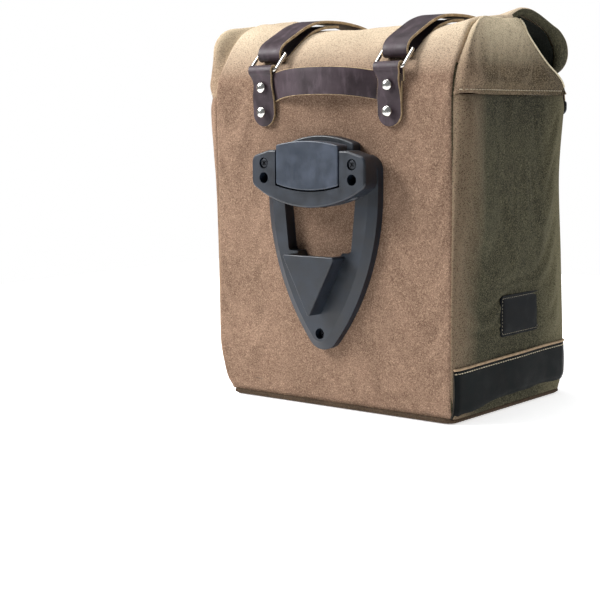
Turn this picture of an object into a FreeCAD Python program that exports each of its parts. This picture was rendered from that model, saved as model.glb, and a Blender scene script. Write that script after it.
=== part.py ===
import FreeCAD, Part
import Sketcher
import math
import os

from FreeCAD import Rotation, Vector

# Roll-top bicycle pannier with leather straps and a quick-release holder.
# Frame: origin on the ground under the middle of the bag, +X to the bag's right,
# -Y towards the bicycle (the mounting side), +Z up.  Millimetres throughout.

DIMENSIONS = {
    # bag body
    "bag_width": 304.0,
    "cloth_thick": 2.5,
    "floor_thick": 3.0,
    "mount_face": 107.0,
    "seam_height": 320.0,
    "shoulder_radius": 55.0,
    "crest_height": 394.0,
    "crest_front": 5.0,
    "crest_back": 8.5,
    "outer_top": 106.0,
    "outer_waist": 99.0,
    "outer_belly": 118.0,
    "outer_foot": 111.0,
    "mouth_lip_run": 70.0,
    "slope_start": 328.0,
    "slope_end": 392.0,
    # rolled flap
    "flap_thick": 6.0,
    "flap_width": 298.0,
    "flap_gap": 1.0,
    "flap_reach": 107.0,
    "flap_drop": 25.0,
    "curl_radius": 11.0,
    "curl_turn": 127.0,
    "curl_lip": 14.0,
    # leather work
    "leather_thick": 3.0,
    "strap_width": 30.0,
    "strap_spacing": 160.0,
    "strap_clearance": 4.0,
    "ring_low_height": 347.5,
    "ring_high_depth": 96.0,
    "ring_high_height": 364.8,
    "tail_length": 122.0,
    "tail_lean": 5.0,
    "band_thick": 2.0,
    "band_foot": 6.0,
    "band_top": 56.0,
    "label_length": 76.0,
    "label_height": 42.0,
    "label_corner": 4.0,
    "tab_foot": 289.0,
    "handle_height": 28.0,
    "handle_middle": 327.0,
    "handle_bow": 16.0,
    # metal
    "ring_wire": 4.0,
    "ring_inner": 31.0,
    "rivet_cap": 5.6,
    "rivet_post": 1.8,
    "rivet_low": 304.5,
    "rivet_high": 330.0,
    # holder
    "plate_half": 70.0,
    "plate_side": 250.0,
    "plate_shoulder": 225.0,
    "plate_foot": 62.0,
    "plate_top": 262.0,
    "plate_corner": 16.0,
    "plate_rim": 9.0,
    "plate_crown": 14.0,
    "head_depth": 20.0,
    "head_half": 72.0,
    "jaw_radius": 5.5,
    "jaw_height": 216.5,
    "lever_half": 39.5,
    "pin_radius": 1.5,
    "screw_spread": 112.0,
    "screw_radius": 2.5,
    "screw_cap": 4.6,
    "screw_sink": 5.6,
    "head_screw_height": 253.0,
    "plate_screw_height": 79.0,
    "through_height": 238.0,
    "plate_seat": 5.0,
    "head_seat": 3.5,
}

doc = FreeCAD.newDocument("pannier_bag")
sheet = doc.addObject("Spreadsheet::Sheet", "Dims")
for row, (alias, value) in enumerate(DIMENSIONS.items(), start=1):
    sheet.set(f"A{row}", alias)
    sheet.set(f"B{row}", str(value))
    sheet.setAlias(f"B{row}", alias)
doc.recompute()

nodes = []


def dim(alias):
    """A driving dimension, read back from the sheet."""
    return float(sheet.get(alias))


# ---------------------------------------------------------------- helpers

def bind(item, expressions):
    """Bind an object's sizes to cells of the sheet."""
    for prop, expression in expressions.items():
        item.setExpression(prop, expression)


def keep(item, name):
    """Name an object as a sub-part that is written out."""
    item.Label = name
    nodes.append(item)
    return item


def shape_node(name, shape):
    """A sub-part whose shape comes from Part's own functions."""
    item = doc.addObject("Part::Feature", name)
    item.Shape = shape
    return keep(item, name)


def box_object(name, expressions):
    item = doc.addObject("Part::Box", name)
    bind(item, expressions)
    return item


def cylinder_object(name, radius, height, base, axis):
    """A Part cylinder: radius and height are expressions, base and axis are vectors."""
    item = doc.addObject("Part::Cylinder", name)
    bind(item, {"Radius": radius, "Height": height})
    item.Placement.Base = base
    item.Placement.Rotation = Rotation(Vector(0, 0, 1), axis)
    return item


def fuse_objects(name, parts):
    item = doc.addObject("Part::MultiFuse", name)
    item.Shapes = parts
    return item


def cut_object(name, base, tools):
    """Base minus the tools, as a live boolean."""
    tool = tools[0] if len(tools) == 1 else fuse_objects(name + "_tools", tools)
    item = doc.addObject("Part::Cut", name)
    item.Base = base
    item.Tool = tool
    return item


def polar(centre, radius, degrees):
    """Point of the YZ plane at an angle from +Y towards +Z."""
    angle = math.radians(degrees)
    return (centre[0] + radius * math.cos(angle), centre[1] + radius * math.sin(angle))


def side_point(point, across=0.0):
    return Vector(across, point[0], point[1])


def side_line(start, end, across=0.0):
    return Part.LineSegment(side_point(start, across), side_point(end, across)).toShape()


def side_arc(centre, radius, begin, finish, across=0.0):
    """Arc in a plane parallel to YZ, by its two angles."""
    stations = (begin, (begin + finish) / 2, finish)
    points = [side_point(polar(centre, radius, angle), across) for angle in stations]
    return Part.Arc(*points).toShape()


def side_spline(points, across=0.0):
    curve = Part.BSplineCurve()
    curve.interpolate([side_point(point, across) for point in points])
    return curve.toShape()


def side_solid(edges, low, high):
    """Solid between two X stations from a closed outline drawn at x = 0."""
    face = Part.Face(Part.Wire(Part.__sortEdges__(edges)))
    face.translate(Vector(low, 0, 0))
    return face.extrude(Vector(high - low, 0, 0))


def front_wire(points, depth):
    """Closed straight-sided outline in the XZ plane at a given depth in front of the origin."""
    corners = [Vector(x, -depth, z) for x, z in points]
    return Part.makePolygon(corners + corners[:1])


def front_solid(points, near, far):
    """Prism of an XZ outline between two depths in front of the origin."""
    return Part.Face(front_wire(points, near)).extrude(Vector(0, near - far, 0))


def front_cylinder(x, z, radius, near, far):
    """Cylinder along Y between two depths in front of the origin."""
    return Part.makeCylinder(radius, far - near, Vector(x, -near, z), Vector(0, -1, 0))


def mirrored(points):
    """The right half of an outline, top to bottom, closed with its mirror image."""
    return points + [(-x, z) for x, z in reversed(points) if x > 0]


def round_edges(shape, radius, wanted):
    """Fillet the edges for which wanted(edge) is true."""
    return shape.makeFillet(radius, [edge for edge in shape.Edges if wanted(edge)])


def along(edge, axis):
    """True for a straight edge that runs along an axis."""
    if edge.Curve.TypeId != "Part::GeomLine":
        return False
    return abs(abs(edge.tangentAt(edge.FirstParameter).dot(axis)) - 1) < 1e-6


def wire_loop(path_edges, radius):
    """Round wire bent along a closed path."""
    path = Part.Wire(path_edges)
    start = path_edges[0].valueAt(path_edges[0].FirstParameter)
    heading = path_edges[0].tangentAt(path_edges[0].FirstParameter)
    profile = Part.Face(Part.Wire(Part.makeCircle(radius, start, heading)))
    return path.makePipe(profile)


def rounded_loop(half_width, reach, top_corner, foot_corner):
    """Edges of a closed loop in the XZ plane whose top bar lies on the X axis."""
    turn = math.sqrt(0.5)
    edges = []

    def bend(centre_x, centre_z, corner, start, mid, end):
        points = [Vector(centre_x + corner * dx, 0, centre_z + corner * dz) for dx, dz in (start, mid, end)]
        return Part.Arc(*points).toShape()

    top, foot = top_corner, foot_corner
    edges.append(Part.LineSegment(Vector(top - half_width, 0, 0), Vector(half_width - top, 0, 0)).toShape())
    edges.append(bend(half_width - top, -top, top, (0, 1), (turn, turn), (1, 0)))
    edges.append(Part.LineSegment(Vector(half_width, 0, -top), Vector(half_width, 0, foot - reach)).toShape())
    edges.append(bend(half_width - foot, foot - reach, foot, (1, 0), (turn, -turn), (0, -1)))
    if half_width - foot > 0.01:
        ends = (Vector(half_width - foot, 0, -reach), Vector(foot - half_width, 0, -reach))
        edges.append(Part.LineSegment(*ends).toShape())
    edges.append(bend(foot - half_width, foot - reach, foot, (0, -1), (-turn, -turn), (-1, 0)))
    left_side = Part.LineSegment(Vector(-half_width, 0, foot - reach), Vector(-half_width, 0, -top))
    edges.append(left_side.toShape())
    edges.append(bend(top - half_width, -top, top, (-1, 0), (-turn, turn), (0, 1)))
    return edges


SIDES = (("left", -1), ("right", 1))

# ---------------------------------------------------------------- bag outline, in the YZ plane

half_width = dim("bag_width") / 2
cloth = dim("cloth_thick")
floor_top = dim("floor_thick")
seam = dim("seam_height")
crest = dim("crest_height")
front_face = -dim("mount_face")
crest_front = -dim("crest_front")
crest_back = dim("crest_back")
shoulder_radius = dim("shoulder_radius")

# The mounting panel turns over in two tangent arcs: the shoulder, then the wide crest.
shoulder_centre = (front_face + shoulder_radius, seam)
shoulder_run = crest_front - shoulder_centre[0]
shoulder_rise = crest - seam
shoulder_square = shoulder_run ** 2 + shoulder_rise ** 2 - shoulder_radius ** 2
crest_radius = shoulder_square / (2 * (shoulder_rise - shoulder_radius))
crest_centre = (crest_front, crest - crest_radius)
shoulder_angle = math.degrees(math.atan2(seam - crest_centre[1], shoulder_centre[0] - crest_front))


def panel_line(inset):
    """The mounting panel's surface, a given distance inside its outer face."""
    return [
        side_line((front_face + inset, floor_top), (front_face + inset, seam)),
        side_arc(shoulder_centre, shoulder_radius - inset, 180, shoulder_angle),
        side_arc(crest_centre, crest_radius - inset, shoulder_angle, 90),
        side_line((crest_front, crest - inset), (crest_back, crest - inset)),
    ]


def outer_points(inset):
    """The outer panel sags: wide at the belly, narrow at the waist."""
    heights = (floor_top, 58, 150, 240, seam)
    depths = (dim("outer_foot"), dim("outer_belly"), 109.0, dim("outer_waist"), dim("outer_top"))
    return [(depth - inset, height) for depth, height in zip(depths, heights)]


# The slope under the rolled flap, from the outer corner up towards the crest.
slope_foot = (dim("outer_top"), dim("slope_start"))
slope_rise = (dim("slope_end") - dim("slope_start")) / (dim("outer_top") - crest_back)
slope_length = math.hypot(1, slope_rise)
slope_inset = cloth * slope_length


def slope_height(depth, inset=0.0):
    return slope_foot[1] + slope_rise * (slope_foot[0] - depth) - inset


# ---------------------------------------------------------------- bag body

def holder_holes(margin, near, far):
    """Cylinders for the holder's three screws through the mounting wall."""
    radius = dim("screw_radius") + margin
    spread = dim("screw_spread") / 2
    high, low = dim("head_screw_height"), dim("plate_screw_height")
    spots = ((-spread, high), (spread, high), (0.0, low))
    return [front_cylinder(x, z, radius, near, far) for x, z in spots]


def rivet_holes(margin, near, far):
    radius = dim("rivet_post") + margin
    spread = dim("strap_spacing") / 2
    heights = (dim("rivet_low"), dim("rivet_high"))
    return [front_cylinder(side * spread, z, radius, near, far) for _, side in SIDES for z in heights]


ANCHOR_RIVETS = (219.5, 232.5)


def anchor_holes(margin):
    """Cylinders for the strap anchors' rivets through the outer panel."""
    radius = dim("rivet_post") + margin
    spread = dim("strap_spacing") / 2
    return [Part.makeCylinder(radius, 30, Vector(side * spread, 85, height), Vector(0, 1, 0))
            for _, side in SIDES for height in ANCHOR_RIVETS]


def make_mounting_panel():
    outline = panel_line(0) + panel_line(cloth)
    outline.append(side_line((front_face, floor_top), (front_face + cloth, floor_top)))
    outline.append(side_line((crest_back, crest), (crest_back, crest - cloth)))
    panel = side_solid(outline, -half_width, half_width)
    for hole in holder_holes(0.1, 95, 110) + rivet_holes(0.1, 95, 110):
        panel = panel.cut(hole)
    shape_node("mounting_panel", panel)


def make_outer_panel():
    outer, inner = outer_points(0), outer_points(cloth)
    outline = [side_spline(outer), side_spline(inner)]
    outline.append(side_line(outer[0], inner[0]))
    outline.append(side_line(outer[-1], inner[-1]))
    panel = side_solid(outline, -half_width, half_width)
    for hole in anchor_holes(0.1):
        panel = panel.cut(hole)
    shape_node("outer_panel", panel)


def make_outer_collar():
    """The outer panel's upper part: it slopes in under the flap and stops at the mouth."""
    lip = slope_foot[0] - dim("mouth_lip_run") / slope_length
    inner_depth = slope_foot[0] - cloth
    normal = (slope_rise / slope_length * cloth, cloth / slope_length)
    corners = [
        (slope_foot[0], seam),
        slope_foot,
        (lip, slope_height(lip)),
        (lip - normal[0], slope_height(lip) - normal[1]),
        (inner_depth, slope_height(inner_depth, slope_inset)),
        (inner_depth, seam),
    ]
    outline = [side_line(a, b) for a, b in zip(corners, corners[1:] + corners[:1])]
    shape_node("outer_collar", side_solid(outline, -half_width, half_width))


def make_gussets():
    inner_front = front_face + cloth
    inner = outer_points(cloth)
    outline = [
        side_line((inner_front, floor_top), (inner_front, seam)),
        side_line((inner_front, seam), inner[-1]),
        side_spline(inner),
        side_line(inner[0], (inner_front, floor_top)),
    ]
    inner_depth = slope_foot[0] - cloth
    collar = panel_line(cloth)[1:] + [
        side_line((crest_back, crest - cloth), (crest_back, slope_height(crest_back, slope_inset))),
        side_line((crest_back, slope_height(crest_back, slope_inset)),
                  (inner_depth, slope_height(inner_depth, slope_inset))),
        side_line((inner_depth, slope_height(inner_depth, slope_inset)), (inner_depth, seam)),
        side_line((inner_depth, seam), (inner_front, seam)),
    ]
    for name, side in SIDES:
        low, high = sorted((side * (half_width - cloth), side * half_width))
        shape_node("gusset_" + name, side_solid(outline, low, high))
        shape_node("gusset_collar_" + name, side_solid(collar, low, high))


def make_base_panel():
    base = box_object("base_block", {
        "Length": "Dims.bag_width",
        "Width": "Dims.mount_face + Dims.outer_foot",
        "Height": "Dims.floor_thick",
        "Placement.Base.x": "-Dims.bag_width / 2",
        "Placement.Base.y": "-Dims.mount_face",
    })
    keep(base, "base_panel")


def make_stiffener_board():
    """Stiff board behind the mounting panel that carries the holder and the tabs."""
    board = box_object("board_block", {
        "Length": "Dims.bag_width - 30",
        "Width": "Dims.cloth_thick",
        "Height": "Dims.seam_height - 22",
        "Placement.Base.x": "15 - Dims.bag_width / 2",
        "Placement.Base.y": "Dims.cloth_thick - Dims.mount_face",
        "Placement.Base.z": "20",
    })
    tools = []
    spread = dim("screw_spread") / 2
    high, low = dim("head_screw_height"), dim("plate_screw_height")
    spots = [(-spread, high, "screw_radius"), (spread, high, "screw_radius"), (0.0, low, "screw_radius")]
    for _, side in SIDES:
        spots.append((side * dim("strap_spacing") / 2, dim("rivet_low"), "rivet_post"))
    for number, (x, z, radius) in enumerate(spots):
        tools.append(cylinder_object(f"board_hole_{number}", f"Dims.{radius} + 0.1", "12",
                                     Vector(x, -97, z), Vector(0, -1, 0)))
    keep(cut_object("board_cut", board, tools), "stiffener_board")


# ---------------------------------------------------------------- leather trim on the body

def make_bands():
    """Leather guard round the foot of both gussets and the outer panel."""
    thick = dim("band_thick")
    for name, side in SIDES:
        band = box_object("band_block_" + name, {
            "Length": "Dims.band_thick",
            "Width": "Dims.mount_face + Dims.outer_foot - 4",
            "Height": "Dims.band_top - Dims.band_foot",
            "Placement.Base.x": "Dims.bag_width / 2" if side > 0 else "-Dims.bag_width / 2 - Dims.band_thick",
            "Placement.Base.y": "2 - Dims.mount_face",
            "Placement.Base.z": "Dims.band_foot",
        })
        keep(band, "band_" + name)
    cloth_side = side_spline(outer_points(0))
    leather_side = side_spline(outer_points(-thick))
    outer, inner = outer_points(-thick), outer_points(0)
    slab = side_solid([cloth_side, leather_side, side_line(outer[0], inner[0]), side_line(outer[-1], inner[-1])],
                      -half_width, half_width)
    window = Part.makeBox(2 * half_width + 2, 60, dim("band_top") - dim("band_foot"),
                          Vector(-half_width - 1, 80, dim("band_foot")))
    shape_node("band_outer", slab.common(window))


def rounded_plate(name, width, height, corner, thick):
    """Body with a rounded rectangle sketched on XZ and padded towards -Y; all four are expressions."""
    body = doc.addObject("PartDesign::Body", name)
    plane = next(f for f in body.Origin.OriginFeatures if f.Role == "XZ_Plane")
    sketch = body.newObject("Sketcher::SketchObject", name + "_outline")
    sketch.AttachmentSupport = [(plane, "")]
    sketch.MapMode = "FlatFace"
    corners = [Vector(-9, -6, 0), Vector(9, -6, 0), Vector(9, 6, 0), Vector(-9, 6, 0)]
    for start, end in zip(corners, corners[1:] + corners[:1]):
        sketch.addGeometry(Part.LineSegment(start, end), False)
    for number in range(4):
        sketch.addConstraint(Sketcher.Constraint("Coincident", number, 2, (number + 1) % 4, 1))
    sketch.addConstraint(Sketcher.Constraint("Horizontal", 0))
    sketch.addConstraint(Sketcher.Constraint("Horizontal", 2))
    sketch.addConstraint(Sketcher.Constraint("Vertical", 1))
    sketch.addConstraint(Sketcher.Constraint("Vertical", 3))
    sketch.addConstraint(Sketcher.Constraint("Symmetric", 0, 1, 1, 2, -1, 1))
    across = sketch.addConstraint(Sketcher.Constraint("DistanceX", 0, 1, 0, 2, 18))
    upright = sketch.addConstraint(Sketcher.Constraint("DistanceY", 1, 1, 1, 2, 12))
    sketch.setExpression(f"Constraints[{across}]", width)
    sketch.setExpression(f"Constraints[{upright}]", height)
    pad = body.newObject("PartDesign::Pad", name + "_pad")
    pad.Profile = sketch
    pad.setExpression("Length", thick)
    doc.recompute()
    edges = [f"Edge{i}" for i, edge in enumerate(pad.Shape.Edges, start=1) if along(edge, Vector(0, 1, 0))]
    fillet = body.newObject("PartDesign::Fillet", name + "_corners")
    fillet.Base = (pad, edges)
    fillet.setExpression("Radius", corner)
    body.Tip = fillet
    doc.recompute()
    return body


def make_label_patch():
    """Blank leather patch low on the right gusset."""
    patch = rounded_plate("label_plate", "Dims.label_length", "Dims.label_height", "Dims.label_corner", "1.5")
    patch.Placement.Rotation = Rotation(Vector(0, 0, 1), 90)
    patch.Placement.Base = Vector(half_width, 19, 97)
    keep(patch, "label_patch")


def make_tabs():
    """Leather tab folded down over the ring's lower bar, two layers thick."""
    leather = dim("leather_thick")
    back = dim("mount_face") + leather + 0.1
    spread = dim("strap_spacing") / 2
    half = dim("strap_width") / 2
    bore = dim("ring_wire") / 2 + 0.08
    foot = dim("tab_foot")
    for name, side in SIDES:
        x = side * spread
        slab = Part.makeBox(2 * half, 2 * leather, ring_low[1] - foot - half,
                            Vector(x - half, -back - 2 * leather, foot + half))
        toe = front_cylinder(x, foot + half, half, back, back + 2 * leather)
        fold = Part.makeCylinder(bore + leather, 2 * half, Vector(x - half, *ring_low), Vector(1, 0, 0))
        eye = Part.makeCylinder(bore, 2 * half + 2, Vector(x - half - 1, *ring_low), Vector(1, 0, 0))
        tab = slab.fuse([toe, fold]).removeSplitter().cut(eye)
        for hole in rivet_holes(0.1, 100, 125):
            tab = tab.cut(hole)
        shape_node("tab_" + name, tab)


def make_tab_rivets():
    """Domed rivet: cap in front, post through everything, flat cap inside."""
    front = dim("mount_face") + 3 * dim("leather_thick") + 0.1
    back = dim("mount_face") - 2 * cloth
    cap, post = dim("rivet_cap"), dim("rivet_post")
    for name, side in SIDES:
        pieces = []
        for height in (dim("rivet_low"), dim("rivet_high")):
            x = side * dim("strap_spacing") / 2
            head = front_cylinder(x, height, cap, front, front + 1.6)
            head = round_edges(head, 1.2, lambda edge: abs(edge.CenterOfMass.y + front + 1.6) < 1e-3)
            stem = front_cylinder(x, height, post, back, front)
            foot = front_cylinder(x, height, cap - 0.8, back - 1.0, back)
            pieces.append(head.fuse([stem, foot]).removeSplitter())
        shape_node("tab_rivets_" + name, Part.makeCompound(pieces))


def make_handle():
    """Carry handle: one strap, riveted flat under both tabs, bowed out between them."""
    leather = dim("leather_thick")
    spread = dim("strap_spacing") / 2
    inner_end = spread - dim("strap_width") / 2
    outer_end = spread + dim("strap_width") / 2 - 2
    bow = dim("handle_bow")
    face = dim("mount_face")

    def bowed(depth):
        ends = (Vector(-inner_end, -depth, 0), Vector(0, -depth - bow, 0), Vector(inner_end, -depth, 0))
        return [
            Part.LineSegment(Vector(-outer_end, -depth, 0), ends[0]).toShape(),
            Part.Arc(*ends).toShape(),
            Part.LineSegment(ends[2], Vector(outer_end, -depth, 0)).toShape(),
        ]

    edges = bowed(face + 0.05) + bowed(face + leather)
    for side in (-1, 1):
        edges.append(Part.LineSegment(Vector(side * outer_end, -face - 0.05, 0),
                                      Vector(side * outer_end, -face - leather, 0)).toShape())
    strip = Part.Face(Part.Wire(Part.__sortEdges__(edges)))
    strip.translate(Vector(0, 0, dim("handle_middle") - dim("handle_height") / 2))
    handle = strip.extrude(Vector(0, 0, dim("handle_height")))
    for hole in rivet_holes(0.1, 100, 125):
        handle = handle.cut(hole)
    shape_node("carry_handle", handle)


# ---------------------------------------------------------------- rings and straps

ring_low = (-dim("mount_face") - 2 * dim("leather_thick") - 0.1, dim("ring_low_height"))
ring_high = (-dim("ring_high_depth"), dim("ring_high_height"))


def make_rings():
    """Rectangular wire rings between the tabs and the straps."""
    wire = dim("ring_wire") / 2
    half = dim("ring_inner") / 2 + wire
    reach = math.hypot(ring_high[0] - ring_low[0], ring_high[1] - ring_low[1])
    tilt = math.degrees(math.atan2(ring_low[1] - ring_high[1], ring_low[0] - ring_high[0]))
    for name, side in SIDES:
        ring = wire_loop(rounded_loop(half, reach, 2.3, 2.3), wire)
        ring.rotate(Vector(0, 0, 0), Vector(1, 0, 0), tilt + 90)
        ring.translate(Vector(side * dim("strap_spacing") / 2, ring_high[0], ring_high[1]))
        shape_node("ring_" + name, ring)


flap_root = crest_back + dim("flap_gap")
flap_run = dim("flap_reach") - flap_root
flap_radius = (flap_run ** 2 + dim("flap_drop") ** 2) / (2 * dim("flap_drop"))
flap_centre = (flap_root, crest - flap_radius)
flap_fall = math.degrees(math.asin(flap_run / flap_radius))
curl_centre = polar((dim("flap_reach"), crest - dim("flap_drop")), dim("curl_radius"), 270 - flap_fall)
curl_finish = 90 - flap_fall - dim("curl_turn")


def make_flap():
    """The rolled top: one thick curved leaf with a curl at its free edge."""
    thick = dim("flap_thick")
    curl = dim("curl_radius")
    lip_end = [polar(polar(curl_centre, radius, curl_finish), dim("curl_lip"), curl_finish - 90)
               for radius in (curl, curl - thick)]
    outline = [
        side_arc(flap_centre, flap_radius, 90, 90 - flap_fall),
        side_arc(curl_centre, curl, 90 - flap_fall, curl_finish),
        side_line(polar(curl_centre, curl, curl_finish), lip_end[0]),
        side_line(lip_end[0], lip_end[1]),
        side_line(lip_end[1], polar(curl_centre, curl - thick, curl_finish)),
        side_arc(curl_centre, curl - thick, curl_finish, 90 - flap_fall),
        side_arc(flap_centre, flap_radius - thick, 90 - flap_fall, 90),
        side_line((flap_root, crest - thick), (flap_root, crest)),
    ]
    half = dim("flap_width") / 2
    shape_node("roll_flap", side_solid(outline, -half, half))


tail_angle = -dim("tail_lean")
strap_curl = dim("curl_radius") + dim("strap_clearance")
tail_start = polar(curl_centre, strap_curl, tail_angle)
tail_heading = (math.cos(math.radians(tail_angle - 90)), math.sin(math.radians(tail_angle - 90)))
tail_normal = (math.cos(math.radians(tail_angle)), math.sin(math.radians(tail_angle)))


def tail_point(run, proud=0.0):
    """Point on the strap's tail: distance down it from the bend, and height above its underside."""
    return (tail_start[0] + run * tail_heading[0] + proud * tail_normal[0],
            tail_start[1] + run * tail_heading[1] + proud * tail_normal[1])


magnet_run = dim("tail_length") - 14
magnet_spot = tail_point(magnet_run)


def strap_profile():
    """Strap seen from the side: folded round the ring's bar, over the roll and down outside."""
    leather = dim("leather_thick")
    eye = dim("ring_wire") / 2 + 0.08
    under = crest + dim("strap_clearance")
    # upper layer: one arc, flat at the crest and tangent to the eye
    run = crest_front - ring_high[0]
    rise = under - ring_high[1]
    upper = (run ** 2 + rise ** 2 - eye ** 2) / (2 * (rise - eye))
    upper_centre = (crest_front, under - upper)
    upper_angle = math.degrees(math.atan2(ring_high[1] - upper_centre[1], ring_high[0] - upper_centre[0]))
    # lower layer: parallel to the crest, then straight and cross-tangent to the eye
    lower = crest_radius + dim("strap_clearance")
    span = math.hypot(ring_high[0] - crest_centre[0], ring_high[1] - crest_centre[1])
    bearing = math.degrees(math.atan2(ring_high[1] - crest_centre[1], ring_high[0] - crest_centre[0]))
    lower_angle = bearing - math.degrees(math.acos((lower + eye) / span))
    eye_angle = lower_angle + 180
    flap_under = flap_radius + dim("strap_clearance")
    tail = dim("tail_length")
    outline = [
        side_line((flap_root, under + leather), (crest_front, under + leather)),
        side_arc(upper_centre, upper + leather, 90, upper_angle),
        side_arc(ring_high, eye + leather, upper_angle, eye_angle),
        side_line(polar(ring_high, eye + leather, eye_angle), polar(crest_centre, lower - leather, lower_angle)),
        side_arc(crest_centre, lower - leather, lower_angle, 90),
        side_line((crest_front, under - leather), (crest_front, under)),
        side_line((crest_front, under), (flap_root, under)),
        side_arc(flap_centre, flap_under, 90, 90 - flap_fall),
        side_arc(curl_centre, strap_curl, 90 - flap_fall, tail_angle),
        side_line(tail_start, tail_point(tail)),
        side_line(tail_point(tail), tail_point(tail, leather)),
        side_line(tail_point(tail, leather), tail_point(0, leather)),
        side_arc(curl_centre, strap_curl + leather, tail_angle, 90 - flap_fall),
        side_arc(flap_centre, flap_under + leather, 90 - flap_fall, 90),
    ]
    # the wedge-shaped gap between the two layers, with the ring's bar in its narrow end
    wedge = 30.0
    gap_depth = crest_front - wedge
    gap_top = (gap_depth, upper_centre[1] + math.sqrt(upper ** 2 - wedge ** 2))
    gap_foot = (gap_depth, crest_centre[1] + math.sqrt(lower ** 2 - wedge ** 2))
    gap_top_angle = 90 + math.degrees(math.asin(wedge / upper))
    gap_foot_angle = 90 + math.degrees(math.asin(wedge / lower))
    gap = [
        side_arc(upper_centre, upper, gap_top_angle, upper_angle),
        side_arc(ring_high, eye, upper_angle, eye_angle),
        side_line(polar(ring_high, eye, eye_angle), polar(crest_centre, lower, lower_angle)),
        side_arc(crest_centre, lower, lower_angle, gap_foot_angle),
        side_line(gap_foot, gap_top),
    ]
    return outline, gap


def magnet_axis_solid(x, radius, start, length):
    """Cylinder at the closure's magnet, along the tail's normal."""
    base = tail_point(magnet_run, start)
    return Part.makeCylinder(radius, length, Vector(x, *base), Vector(0, *tail_normal))


def make_straps():
    outline, gap = strap_profile()
    half = dim("strap_width") / 2
    leather = dim("leather_thick")
    tip = tail_point(dim("tail_length"))
    for name, side in SIDES:
        x = side * dim("strap_spacing") / 2
        strap = side_solid(outline, x - half, x + half).cut(side_solid(gap, x - half - 1, x + half + 1))

        def at_tip(edge):
            spot = edge.CenterOfMass
            return abs(abs(spot.x - x) - half) < 0.01 and math.hypot(spot.y - tip[0], spot.z - tip[1]) < leather

        strap = round_edges(strap, 12, at_tip)
        strap = strap.cut(magnet_axis_solid(x, 7.5, -1, leather + 2))
        shape_node("strap_" + name, strap)
        cap = magnet_axis_solid(x, 9, leather + 0.02, 1.4)
        plug = magnet_axis_solid(x, 7.4, leather - 1.2, 1.3)
        shape_node("strap_magnet_" + name, cap.fuse(plug).removeSplitter())


def make_anchors():
    """Leather patch, rivets and domed magnet seat on the outer panel, one under each strap's end."""
    half = dim("strap_width") / 2 + 2
    seat_face = magnet_spot[0] - 3.0
    spline = side_spline(outer_points(0))
    ends = outer_points(0)
    bulk = side_solid([spline, side_line(ends[-1], (0, seam)), side_line((0, seam), (0, floor_top)),
                       side_line((0, floor_top), ends[0])], -half_width, half_width)
    low, high = ANCHOR_RIVETS[0] - 9, magnet_spot[1] + 16
    for name, side in SIDES:
        x = side * dim("strap_spacing") / 2
        patch = Part.makeBox(2 * half, seat_face - 90, high - low, Vector(x - half, 90, low))
        patch = round_edges(patch, 8, lambda edge: along(edge, Vector(0, 1, 0))).cut(bulk)
        rivets = []
        for hole in anchor_holes(0.1):
            patch = patch.cut(hole)
        for height in ANCHOR_RIVETS:
            inside = dim("outer_waist") - 4
            foot = Vector(x, inside, height)
            post = Part.makeCylinder(dim("rivet_post"), seat_face - inside, foot, Vector(0, 1, 0))
            foot = Part.makeCylinder(4, 1, Vector(x, inside - 1, height), Vector(0, 1, 0))
            cap = Part.makeCylinder(4.2, 1.2, Vector(x, seat_face, height), Vector(0, 1, 0))
            cap = round_edges(cap, 0.9, lambda edge: abs(edge.CenterOfMass.y - seat_face - 1.2) < 1e-3)
            rivets.append(post.fuse([cap, foot]).removeSplitter())
        shape_node("anchor_" + name, patch)
        shape_node("anchor_rivets_" + name, Part.makeCompound(rivets))
        disc = Part.makeCylinder(8, 2, Vector(x, seat_face, magnet_spot[1]), Vector(0, 1, 0))
        dome = Part.makeCone(6, 2.5, 2, Vector(x, seat_face + 2, magnet_spot[1]), Vector(0, 1, 0))
        shape_node("magnet_seat_" + name, disc.fuse(dome))


# ---------------------------------------------------------------- corner rings

CORNER_X = 145.0
CORNER_BAR = (110.6, 313.0)


def make_corner_rings():
    """Small D-ring on a leather loop at each outer upper corner."""
    wire = 1.5
    bore = wire + 0.06
    for name, side in SIDES:
        x = side * CORNER_X
        slab = Part.makeBox(10, 2.4, 14, Vector(x - 5, dim("outer_top") + 0.1, CORNER_BAR[1]))
        fold = Part.makeCylinder(bore + 2.2, 10, Vector(x - 5, *CORNER_BAR), Vector(1, 0, 0))
        eye = Part.makeCylinder(bore, 12, Vector(x - 6, *CORNER_BAR), Vector(1, 0, 0))
        shape_node("corner_loop_" + name, slab.fuse(fold).cut(eye))
        ring = wire_loop(rounded_loop(6.9, 12.5, 1.8, 6.0), wire)
        ring.translate(Vector(x, *CORNER_BAR))
        shape_node("corner_ring_" + name, ring)


# ---------------------------------------------------------------- quick-release holder

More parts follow.
